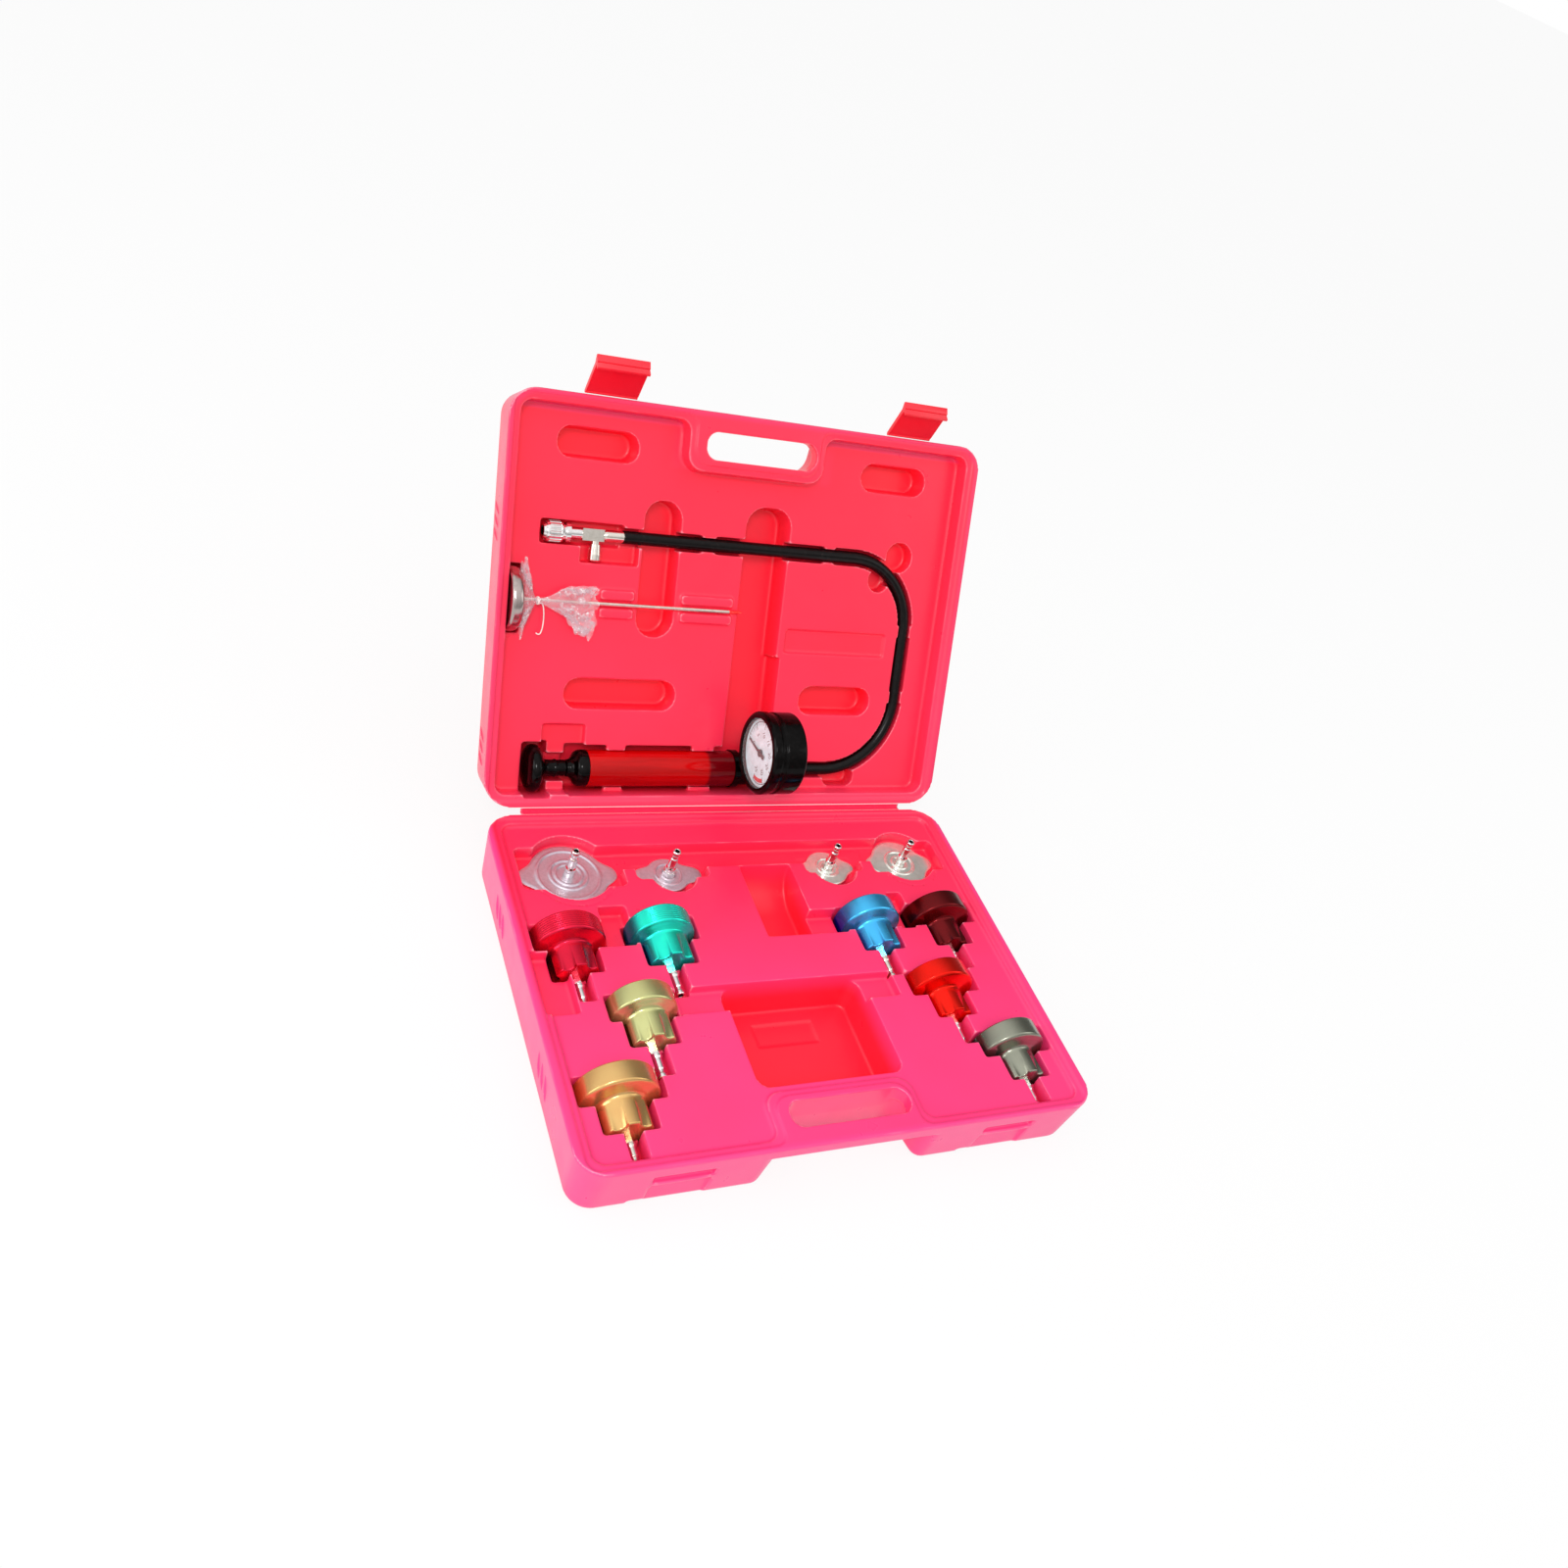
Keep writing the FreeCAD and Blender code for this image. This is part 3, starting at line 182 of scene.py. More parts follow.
def moulded_plastic(name, near, far, deep, outer, up, away, reach, edge_highlight=0.5):
    """Blow-moulded shell, redder towards the hinge and paler outside; painted shade makes it
    redder down in its pockets and a painted highlight pales its edges.

    up is the direction out of the half's panel, away the one from the hinge to the half's
    free end, reach is how deep its pockets go and the last argument is how strongly the
    painted highlight pales its edges.
    """
    f = Finish(name)
    height = f.along(f.place, up) - float(np.dot(HINGE, up))
    out = f.along(f.place, away) - float(np.dot(HINGE, away))
    sideways = f.along(f.place, (1.0, 0.0, 0.0)).math("ABSOLUTE")
    latch_zone = out.band(*LATCH_ALONG) * (height * -1.0).band(*LATCH_UNDER)
    past_side = (sideways - (HALF_WIDTH - FRONT_CORNER)).math("MAXIMUM", 0.0)
    past_front = (out - (REACH - FRONT_CORNER)).math("MAXIMUM", 0.0)
    round_corner = (past_side * past_side + past_front * past_front) ** 0.5
    wall = round_corner.band(FRONT_CORNER - 0.0057, FRONT_CORNER - 0.0020)
    outside = (wall + latch_zone).math("MINIMUM", 1.0)
    grip = sideways.band(*GRIP_ACROSS) * out.band(*GRIP_ALONG)
    # painted shade: down in the pockets the colour turns to the deep tone, but not on the handle's
    # raised border
    depth = (height * (-1.0 / reach)).band(0.12, 0.75) * (1.0 - grip)
    cloud = f.noise(14.0, 2.0)
    grain = f.noise(1500.0, 2.0, 0.6)
    # painted highlight: the most convex edges are paled towards a light pink, where glints would
    # be
    edge = f.add("ShaderNodeNewGeometry", outlet="Pointiness").band(0.515, 0.58)
    wave = f.bump(f.noise(28.0, 1.0), 0.35, 0.0012)
    skin = f.bump(grain, 0.08, 0.0002, wave)
    level = f.mixed(out.band(0.04, 0.24), far, near)
    inside = f.mixed(depth + cloud.band(0.3, 0.8) * 0.12, level, deep)
    shade = f.mixed(outside, inside, outer)
    return f.surface(base_color=f.mixed(edge * edge_highlight, shade, (1.0, 0.55, 0.66)),
                     roughness=f.noise(60.0, 3.0) * 0.12 + 0.24, normal=skin,
                     specular_ior_level=0.45)


def anodised(name, tone, dark, metal=0.85):
    """Dyed satin aluminium with faint lathe lines; painted shade and reflection make the sides
    that face left and down a deeper colour.
    """
    f = Finish(name)
    lines = f.noise(90.0, 4.0, 0.6, (1.0, 22.0, 1.0))
    cloud = f.noise(60.0, 2.0)
    # painted shade and reflection: the more a face turns left and down, the nearer its colour to
    # the dark tone
    side = f.along(f.add("ShaderNodeNewGeometry", outlet="Normal"), (-0.75, -0.1, -0.6))
    shade = (side.band(0.05, 0.95) + cloud.band(0.3, 0.7) * 0.15).math("MINIMUM", 1.0)
    return f.surface(base_color=f.mixed(shade, tone, dark), metallic=metal,
                     roughness=lines * 0.10 + 0.20, normal=f.bump(lines, 0.08, 0.0001),
                     coat_weight=0.12, coat_roughness=0.10)


def plated(name, tone, rough, spread=0.05, speckle=240.0, metal=1.0):
    """Polished or dull plate over metal, with handling marks."""
    f = Finish(name)
    marks = f.noise(speckle, 4.0, 0.65)
    fine = f.noise(speckle * 6, 2.0)
    shade = tuple(c * 0.86 for c in tone)
    return f.surface(base_color=f.mixed(marks.band(0.3, 0.7), shade, tone), metallic=metal,
                     roughness=marks * spread + rough, normal=f.bump(fine, 0.05, 0.0001))


def dark_rubber(name, tone, rough, shine=0.3):
    """Black rubber: dark face on, with a fine bloom."""
    f = Finish(name)
    bloom = f.noise(320.0, 4.0, 0.6)
    lighter = tuple(c * 1.7 + 0.003 for c in tone)
    return f.surface(base_color=f.mixed(bloom.band(0.4, 0.85), tone, lighter),
                     roughness=bloom * 0.14 + rough, normal=f.bump(bloom, 0.08, 0.0002),
                     specular_ior_level=shine)


def glossy_plastic(name, tone, rough):
    """Hard turned or moulded plastic with a bright skin."""
    f = Finish(name)
    swirl = f.noise(160.0, 3.0)
    lighter = tuple(c * 1.25 + 0.002 for c in tone)
    return f.surface(base_color=f.mixed(swirl.band(0.3, 0.8), tone, lighter),
                     roughness=swirl * 0.08 + rough, coat_weight=0.6, coat_roughness=0.06,
                     normal=f.bump(swirl, 0.03, 0.0002))


def tinted_clear(name, tone, dark_from):
    """Clear dyed plastic with fine streaks along it, dark where the piston shows inside.

    dark_from is the place along x at which the dark part starts.
    """
    f = Finish(name)
    streak = f.noise(70.0, 3.0, 0.6, (0.12, 1.0, 1.0))
    deep = tuple(c * 0.6 for c in tone)
    inside = f.along(f.place, (1.0, 0.0, 0.0)).band(dark_from, dark_from + 0.004)
    body = f.mixed(streak.band(0.3, 0.75), deep, tone)
    return f.surface(base_color=f.mixed(inside * 0.8, body, linear(70, 0, 14)),
                     roughness=streak * 0.05 + 0.06, transmission_weight=0.05, ior=1.45,
                     specular_ior_level=0.18, coat_weight=0.12, coat_roughness=0.03)


def clear_glass(name):
    f = Finish(name)
    smear = f.noise(90.0, 3.0)
    return f.surface(base_color=(1.0, 1.0, 1.0, 1.0), roughness=smear * 0.05 + 0.02,
                     alpha=smear * 0.04 + 0.05, specular_ior_level=0.8)


def thin_film(name):
    """Crumpled clear film, thin between its creases; along them it is less clear, and a painted
    glint makes it bright there.
    """
    f = Finish(name)
    crease = f.noise(150.0, 5.0, 0.7)
    shine = crease.band(0.52, 0.68)
    return f.surface(base_color=f.mixed(shine, linear(236, 214, 222), (1.0, 1.0, 1.0)),
                     roughness=0.10, alpha=shine * 0.60 + 0.24, specular_ior_level=0.9,
                     normal=f.bump(crease, 0.9, 0.0022))


# deep is the painted shade colour down in each half's pockets
case_red = moulded_plastic(
    "case_red", near=linear(255, 62, 128), far=linear(255, 44, 88), deep=linear(255, 34, 62),
    outer=linear(246, 64, 134), up=(0.0, 0.0, 1.0), away=(0.0, -1.0, 0.0), reach=0.034)
lid_red = moulded_plastic(
    "lid_red", near=linear(255, 48, 80), far=linear(255, 58, 98), deep=linear(255, 34, 60),
    outer=linear(238, 52, 98), up=OFF_LID, away=UP_LID, reach=0.036)
# latch_red's last argument keeps its painted edge highlight faint
latch_red = moulded_plastic(
    "latch_red", near=linear(246, 18, 46), far=linear(246, 18, 46), deep=linear(226, 8, 26),
    outer=linear(240, 12, 38), up=OFF_LID, away=UP_LID, reach=0.060, edge_highlight=0.04)
# each adapter's second colour is the painted shade and reflection of its left and lower sides
finishes = {
    "crimson": anodised("crimson_anodised", linear(236, 26, 64), linear(110, 0, 14)),
    "teal": anodised("teal_anodised", linear(36, 250, 216), linear(0, 90, 170)),
    "olive": anodised("olive_anodised", linear(214, 216, 150), linear(150, 118, 50)),
    "gold": anodised("gold_anodised", linear(232, 190, 122), linear(214, 96, 20)),
    "blue": anodised("blue_anodised", linear(76, 196, 252), linear(26, 20, 196)),
    "maroon": anodised("maroon_anodised", linear(112, 2, 12), linear(26, 0, 2)),
    "orange": anodised("orange_anodised", linear(255, 24, 2), linear(140, 0, 0)),
    "gunmetal": anodised("gunmetal_anodised", linear(156, 158, 142), linear(40, 38, 40), 0.95),
}
bright_steel = plated("bright_steel", (0.90, 0.88, 0.87), 0.09)
pressed_steel = plated("pressed_steel", (0.88, 0.90, 0.82), 0.18, 0.06, metal=0.72)
dull_zinc = plated("dull_zinc", (0.66, 0.58, 0.66), 0.26, 0.22, 420.0, metal=0.75)
warm_steel = plated("warm_steel", (0.92, 0.74, 0.66), 0.16)
nickel = plated("nickel_plate", (0.86, 0.80, 0.72), 0.15)
seal_rubber = dark_rubber("seal_rubber", (0.012, 0.012, 0.014), 0.5)
hose_rubber = dark_rubber("hose_rubber", (0.003, 0.002, 0.002), 0.16, 0.18)
boot_rubber = dark_rubber("boot_rubber", (0.001, 0.0005, 0.0005), 0.06, 0.10)
knob_black = dark_rubber("knob_black", (0.001, 0.0005, 0.0005), 0.02, 0.14)
# the thermometer's dial case: its dark warm tone is a painted reflection, darker than bare steel
reflection_toned_steel = plated("reflection_toned_case", (0.50, 0.42, 0.40), 0.14, 0.10)
barrel_red = tinted_clear("barrel_red", linear(214, 4, 8), -0.016)
sheath_red = glossy_plastic("sheath_red", linear(250, 20, 14), 0.25)
dial_white = glossy_plastic("dial_white", linear(214, 250, 255), 0.4)
print_black = glossy_plastic("print_black", (0.012, 0.012, 0.016), 0.5)
print_red = glossy_plastic("print_red", linear(214, 26, 40), 0.5)
lens_clear = clear_glass("lens_clear")
pouch_film = thin_film("pouch_film")
thread_white = glossy_plastic("thread_white", linear(240, 226, 222), 0.6)


# ------------------------------------------------------------------ surfaces

def softened(corners, radius):
    """A chain of corners with each one rounded: three points of a parabola per corner.

    The parabola leaves each side at the rounding radius, or at 0.45 of a shorter side.
    """
    p = np.asarray(corners, float)
    sides = np.diff(p, axis=0)
    reach = np.minimum(radius, 0.45 * np.linalg.norm(sides, axis=1))
    unit = sides / np.linalg.norm(sides, axis=1)[:, None]
    enter = p[1:-1] - unit[:-1] * np.minimum(reach[:-1], reach[1:])[:, None]
    leave = p[1:-1] + unit[1:] * np.minimum(reach[:-1], reach[1:])[:, None]
    bends = [enter * (1 - s) ** 2 + p[1:-1] * 2 * s * (1 - s) + leave * s * s
             for s in (0.0, 0.25, 0.5, 0.75, 1.0)]
    inside = np.stack(bends, axis=1).reshape(-1, 2)
    return np.vstack([p[:1], inside, p[-1:]])


def skin(name, grid, wrap_rows=False, wrap_columns=True, sharp=38.0):
    """A mesh over a grid of points, its rows or columns joined end to end where asked."""
    rows, columns = grid.shape[:2]
    index = np.arange(rows * columns).reshape(rows, columns)
    if wrap_rows:
        index = np.vstack([index, index[:1]])
    if wrap_columns:
        index = np.hstack([index, index[:, :1]])
    quads = np.stack([index[:-1, :-1], index[:-1, 1:], index[1:, 1:], index[1:, :-1]],
                     axis=-1).reshape(-1, 4)
    mesh = bpy.data.meshes.new(name)
    mesh.from_pydata(grid.reshape(-1, 3), [], quads)
    shell = bmesh.new()
    shell.from_mesh(mesh)
    bmesh.ops.remove_doubles(shell, verts=shell.verts, dist=2e-6)
    bmesh.ops.dissolve_degenerate(shell, dist=1e-6, edges=shell.edges)
    bmesh.ops.recalc_face_normals(shell, faces=shell.faces)
    shell.to_mesh(mesh)
    shell.free()
    mesh.shade_smooth()
    mesh.set_sharp_from_angle(angle=math.radians(sharp))
    piece = bpy.data.objects.new(name, mesh)
    bpy.context.scene.collection.objects.link(piece)
    return piece


def turned(name, corners, spot, axis, soft=0.5, around=96, shape=None, closed=False):
    """A profile of (along, radius) in millimetres carried round an axis from a spot.

    shape changes the radius: it takes the arrays along, radius and angle.
    """
    profile = softened(list(corners) + ([corners[0]] if closed else []), soft)
    if closed:
        profile = profile[:-1]
    angle = np.linspace(0, 2 * np.pi, around, endpoint=False)
    along = np.repeat(profile[:, :1], around, axis=1)
    radius = np.repeat(profile[:, 1:], around, axis=1)
    angles = np.repeat(angle[None, :], len(profile), axis=0)
    if shape is not None:
        radius = shape(along, radius, angles)
    axis = np.asarray(axis, float) / np.linalg.norm(axis)
    side = np.cross(axis, (0.0, 0.0, 1.0) if abs(axis[2]) < 0.9 else (1.0, 0.0, 0.0))
    side /= np.linalg.norm(side)
    other = np.cross(axis, side)
    grid = (np.asarray(spot, float) + MM * (
        along[..., None] * axis + (radius * np.cos(angles))[..., None] * side
        + (radius * np.sin(angles))[..., None] * other))
    return skin(name, grid, wrap_rows=closed)


def give(piece, finish, body, *nodes, slot=None):
    """Finish a piece, let it ride on its body and stand for its nodes."""
    piece.data.materials.clear()
    piece.data.materials.append(finish)
    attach(piece, body)
    if nodes:
        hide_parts(*nodes)
    return piece


def paint(node, finish):
    """A better finish on a node that keeps its own shape."""
    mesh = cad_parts[node].data
    mesh.materials.clear()
    mesh.materials.append(finish)


def middle(node):
    low, high = (np.array(corner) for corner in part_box(node))
    return (low + high) / 2, low, high


def smooth_step(low, high, value):
    t = np.clip((value - low) / (high - low), 0, 1)
    return t * t * (3 - 2 * t)


def applied(piece):
    """Bake a piece's modifiers into its mesh."""
    graph = bpy.context.evaluated_depsgraph_get()
    mesh = bpy.data.meshes.new_from_object(piece.evaluated_get(graph))
    piece.modifiers.clear()
    piece.data = mesh
    return piece


def merged_copy(name, node):
    """A copy of a node's mesh with its loose triangles joined."""
    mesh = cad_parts[node].data.copy()
    mesh.name = name
    joined = bmesh.new()
    joined.from_mesh(mesh)
    bmesh.ops.remove_doubles(joined, verts=joined.verts, dist=2e-6)
    joined.to_mesh(mesh)
    joined.free()
    piece = bpy.data.objects.new(name, mesh)
    bpy.context.scene.collection.objects.link(piece)
    return piece


# ------------------------------------------------------------------ case halves

def unfolded(piece):
    """Merge away the corners where thinning has folded a flat face over.

    There a face points more than 45 degrees away from its corner's own normal.
    """
    mesh = piece.data
    corners = np.empty(len(mesh.loops), np.int32)
    mesh.loops.foreach_get("vertex_index", corners)
    sizes = np.empty(len(mesh.polygons), np.int32)
    mesh.polygons.foreach_get("loop_total", sizes)
    facing = np.empty(len(mesh.polygons) * 3, np.float32)
    mesh.polygons.foreach_get("normal", facing)
    leaning = np.empty(len(mesh.vertices) * 3, np.float32)
    mesh.vertices.foreach_get("normal", leaning)
    along = (np.repeat(facing.reshape(-1, 3), sizes, axis=0)
             * leaning.reshape(-1, 3)[corners]).sum(axis=1)
    folded = np.unique(corners[along < math.cos(math.radians(45))])
    shell = bmesh.new()
    shell.from_mesh(mesh)
    shell.verts.ensure_lookup_table()
    bmesh.ops.dissolve_verts(shell, verts=[shell.verts[i] for i in folded])
    bmesh.ops.triangulate(shell, faces=[face for face in shell.faces if len(face.verts) > 4])
    shell.to_mesh(mesh)
    shell.free()


def moulded_half(name, node, tilt, finish, body, relief=(), patches=()):
    """A case half with every edge melted round, as blown plastic leaves it.

    The shell is made even at a fine pitch in the half's own frame, cut by the relief solids,
    relaxed so that edges become rounds of about two millimetres, and thinned where it is flat.
    A patch is a slab that thickens a wall: its middle and sides in millimetres, and its turn
    about the panel's normal in degrees. Folds are merged away on a half without reliefs; on
    a cut one that would draw faces across the cuts.
    """
    piece = merged_copy(name, node)
    turn = Matrix.Translation(HINGE) @ Matrix.Rotation(tilt, 4, "X")
    piece.data.transform(turn.inverted())
    shell = bmesh.new()
    shell.from_mesh(piece.data)
    for spot, sides, degrees in patches:
        place = Matrix.Translation(Vector(spot) * MM)
        swing = Matrix.Rotation(math.radians(degrees), 4, "Z")
        stretch = Matrix.Diagonal((*(Vector(sides) * MM), 1.0))
        bmesh.ops.create_cube(shell, size=1.0, matrix=place @ swing @ stretch)
    shell.to_mesh(piece.data)
    shell.free()
    even = piece.modifiers.new("even", "REMESH")
    even.mode, even.voxel_size = "VOXEL", 1.0 * MM
    for solid in relief:
        cut = piece.modifiers.new("cut", "BOOLEAN")
        cut.operation, cut.solver, cut.object = "DIFFERENCE", "FAST", solid
    relax = piece.modifiers.new("relax", "SMOOTH")
    relax.factor, relax.iterations = 0.5, 4
    thin = piece.modifiers.new("thin", "DECIMATE")
    thin.ratio = 0.22
    applied(piece)
    if not relief:
        unfolded(piece)
    for solid in relief:
        bpy.data.objects.remove(solid)
    piece.data.transform(turn)
    piece.data.shade_smooth()
    give(piece, finish, body, node)
    return piece


# each cap: how wide its ears are in radians, its plate, and its pressed rings as parts of
# the disc's radius
CAPS = {
    "wide_cap": (0.30, "dull", (0.34, 0.48, 0.80)),
    "hex_cap": (0.42, "dull", (0.34, 0.62)),
    "small_cap": (0.34, "bright", (0.30, 0.52)),
    "large_cap": (0.30, "bright", (0.26, 0.50)),
}


def cap_reliefs():
    """Solids that open the near side of each cap's seat, down to the plane of its disc.

    Each is a drum beside the seat. Where an adapter stands close behind, a block runs on
    from it to the adapter's mouth. Places are in the base's frame, from the hinge line.
    """
    solids = []
    neighbours = {"wide_cap": "crimson_adapter", "large_cap": "maroon_adapter"}
    clear, aside, under, over = 1.8 * MM, 6 * MM, 3.4 * MM, 4 * MM
    for name in CAPS:
        centre, low, high = middle(name)
        radius = (high[1] - low[1]) / 2 + clear
        spot = centre - HINGE
        floor_at = high[2] - HINGE[2] - under
        tall, mid = over - floor_at, (over + floor_at) / 2
        bpy.ops.mesh.primitive_cylinder_add(vertices=64, radius=radius, depth=tall,
                                            location=(spot[0], spot[1] - aside, mid))
        solids.append(bpy.context.object)
        if name in neighbours:
            mouth = middle(neighbours[name])[2][1] - HINGE[1]
            long = spot[1] - mouth + 1 * MM
            bpy.ops.mesh.primitive_cube_add(
                size=1.0, location=(spot[0], mouth + long / 2 - 1 * MM, mid),
                scale=(radius * 1.72, long, tall))
            solids.append(bpy.context.object)
    return solids


moulded_half("base_shell", "case_base", 0.0, case_red, "base", cap_reliefs())
# the wall between the handle's notch and the panel's step is thinnest at its right end
moulded_half("lid_shell", "case_lid", LID_TILT, lid_red, "lid",
             patches=[((53.5, 282.5, -13.2), (2.0, 15.0, 7.0), -14.0)])


# grip ribs in millimetres: first depth, length down the wall, pitch, slant, half width, how
# far their edges are sunk, and how far face and back stand out from there
RIB_TOP, RIB_LONG, RIB_PITCH, RIB_SLANT, RIB_HALF = 13.0, 20.0, 9.0, 9.0, 2.0
RIB_SUNK, RIB_SHEETS = 0.5, (1.5, -0.4)


def side_ribs(name, tilt, draft, finish, body, groups):
    """Slanted grip ribs in threes on both side walls of a half.

    Each is a low rounded bar on the drafted wall: a cosine across it and the root of a sine
    along it, so its ends run out to nothing, and a flatter back under the wall. groups are
    the distances of the threes from the hinge.
    """
    turn = Matrix.Translation(HINGE) @ Matrix.Rotation(tilt, 4, "X")
    away = 1.0 if tilt else -1.0
    wall = middle({"base": "case_base", "lid": "case_lid"}[body])[2][0] / MM
    s, t = np.meshgrid(np.linspace(-1, 1, 9), np.linspace(0, 1, 15), indexing="ij")
    for side in (-1, 1):
        for group in groups:
            for i in range(3):
                depth = RIB_TOP + RIB_LONG * t
                v = group + RIB_PITCH * i + RIB_SLANT * (t - 0.5) + RIB_HALF * s
                bulge = np.cos(s * np.pi / 2) ** 1.5 * np.sin(np.pi * t) ** 0.5
                foot = wall - depth * math.tan(draft) - RIB_SUNK
                sheets = [np.stack([side * (foot + out * bulge), away * v, -depth], axis=-1) * MM
                          for out in RIB_SHEETS]
                grid = np.concatenate([sheets[0], sheets[1][::-1]], axis=0)
                bar = skin(f"{name}_{side + 1}_{group}_{i}", grid, wrap_rows=True,
                           wrap_columns=False)
                bar.data.transform(turn)
                give(bar, finish, body)


def living_hinge():
    """The bent web between the halves: a band with ridges along it, thin at its middle.

    Its section runs along the base's rim and then along the lid's, dipped in the middle by a
    parabola; a second face lies further out by a thickness that grows towards its edges.
    """
    low, high = middle("hinge_web")[1:]
    x = np.linspace(low[0], high[0], 160)
    s = np.linspace(-1, 1, 17)
    bend = LID_TILT / 2
    pitch, ridge_high, lift = 3.2, 0.12, 0.15
    across_y = np.where(s < 0, s * HINGE_GAP, s * HINGE_GAP * math.cos(LID_TILT))
    across_z = np.where(s < 0, 0.0, s * HINGE_GAP * math.sin(LID_TILT))
    dip = (1 - s * s) * 0.9
    y = across_y + dip * math.sin(bend)
    z = across_z - dip * math.cos(bend)
    out = np.array([math.sin(bend), -math.cos(bend)])
    thick = 0.55 + 0.35 * np.abs(s)
    faces = []
    for side in (0.0, 1.0):
        ridge = ridge_high * np.sin(x / MM / pitch)[:, None] * (1 - s * s)[None, :] * (1 - side)
        step = side * thick[None, :] + ridge + lift
        row = np.empty((len(x), len(s), 3))
        row[..., 0] = x[:, None]
        row[..., 1] = HINGE[1] + MM * (y[None, :] + step * out[0])
        row[..., 2] = HINGE[2] + MM * (z[None, :] + step * out[1])
        faces.append(row if side == 0 else row[:, ::-1])
    grid = np.concatenate(faces, axis=1)
    piece = skin("living_hinge", grid, wrap_rows=False, wrap_columns=True)
    ends = bmesh.new()
    ends.from_mesh(piece.data)
    bmesh.ops.holes_fill(ends, edges=ends.edges, sides=0)
    bmesh.ops.recalc_face_normals(ends, faces=ends.faces)
    ends.to_mesh(piece.data)
    ends.free()
    piece.data.materials.append(case_red)
    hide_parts("hinge_web")
    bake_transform(piece)


side_ribs("base_rib", 0.0, BASE_DRAFT, case_red, "base", (70, 202))
side_ribs("lid_rib", LID_TILT, LID_DRAFT, lid_red, "lid", (34, 196))
living_hinge()
for side in ("left", "right"):
    node = f"latch_{side}"
    piece = merged_copy(f"{node}_moulding", node)
    round_off = piece.modifiers.new("round", "BEVEL")
    round_off.width, round_off.segments = 0.6 * MM, 3
    round_off.limit_method, round_off.angle_limit = "ANGLE", math.radians(35)
    applied(piece)
    piece.data.shade_smooth()
    piece.data.set_sharp_from_angle(angle=math.radians(40))
    give(piece, latch_red, node, node)


# ------------------------------------------------------------------ adapters

# radius of each fluted neck
NECKS = {"crimson": 16.0, "teal": 17.3, "olive": 16.0, "gold": 17.0, "blue": 16.2,
         "maroon": 15.2, "orange": 15.4, "gunmetal": 15.2}
# how many grip grooves run round a ring
GROOVED = {"crimson": 7, "teal": 7}
# along an adapter from its mouth: the ring's end, the shoulder's end and the neck's end
RING, SHOULDER, NECK_END = 15.0, 18.0, 39.0
# width over the flats of a nipple's nut, radius of its stem, and radius of every bore
HEX, STEM, BORE = 9.0, 3.2, 1.8


def flutes(count, depth, start, neck):
    """Radius change for flutes: rounded channels that start narrow and widen to the end."""
    def shape(along, radius, angle):
        turn = (angle * count / (2 * np.pi) + 0.5) % 1 - 0.5
        half = 7.0 + 9.0 * smooth_step(start, NECK_END, along)
        arc = np.clip(1 - (turn * 360 / count / half) ** 2, 0, 1) ** 0.6
        outer = smooth_step(neck - 5, neck - 1, radius)
        fade = smooth_step(start, start + 3.0, along) * (along > RING)
        return radius - depth * arc * fade * outer
    return shape


def hexagonal(flats, nut_end):
    """Flats cut on a round blank up to the end of its nut."""
    def shape(along, radius, angle):
        turn = (angle + np.pi / 6) % (np.pi / 3) - np.pi / 6
        return np.where(along <= nut_end + 1e-6, np.minimum(radius, flats / 2 / np.cos(turn)),
                        radius)
    return shape


def nipple_corners(length, nut):
    """Stem with its gripping groove; the nut is part of it."""
    r, corner = STEM, HEX / math.sqrt(3)
    collar, groove, bored = r + 0.8, r - 0.7, length - 9
    foot = [(0, 0), (0, corner), (nut, corner), (nut, collar)] if nut else [
        (0, 0), (0, collar)]
    return foot + [
        (length * 0.32, collar), (length * 0.38, r), (length * 0.70, r),
        (length * 0.74, groove), (length * 0.83, groove), (length * 0.87, r),
        (length - 0.8, r), (length, r - 0.6), (length, BORE), (bored, BORE), (bored, 0)]


for name, finish in finishes.items():
    centre, low, high = middle(f"{name}_adapter")
    stem_low, stem_high = middle(f"{name}_nipple")[1:]
    stem = (stem_high[1] - stem_low[1]) / MM
    ring = (high[0] - low[0]) / 2 / MM
    neck = NECKS[name]
    cup, step = ring - 3.0, (ring + neck) / 2
    mouth = np.array([centre[0], high[1], centre[2]])
    toothed = []
    for i in range(GROOVED.get(name, 0)):
        at = 1.8 + i * 1.75
        toothed += [(at, ring), (at + 0.3, ring - 0.45), (at + 0.6, ring)]
    body = [(RING, BORE), (RING, cup), (0.0, cup), (0.0, ring - 0.6), (0.7, ring)] + toothed + [
        (14.0, ring), (RING, ring - 0.9), (RING + 0.5, ring - 2.0), (16.6, step),
        (17.6, neck + 2.0), (18.6, neck + 0.5), (20.2, neck), (NECK_END - 0.8, neck),
        (NECK_END, neck - 1.0), (NECK_END, BORE)]
    give(turned(f"{name}_body", body, mouth, (0, -1, 0), soft=0.5, around=168,
                shape=flutes(6, 3.2, SHOULDER + 3.0, neck), closed=True),
         finish, f"{name}_adapter", f"{name}_adapter", slot=f"{name}_anodised")
    base_of_stem = mouth + np.array([0, -NECK_END * MM, 0])
    give(turned(f"{name}_quick_stem", nipple_corners(stem, stem / 4), base_of_stem, (0, -1, 0),
                soft=0.35, around=72, shape=hexagonal(HEX, stem / 4)),
         nickel if name in ("blue", "gold") else bright_steel, f"{name}_adapter",
         f"{name}_nipple")
    paint(f"{name}_seal", dull_zinc if name == "orange" else seal_rubber)


# ------------------------------------------------------------------ bayonet caps

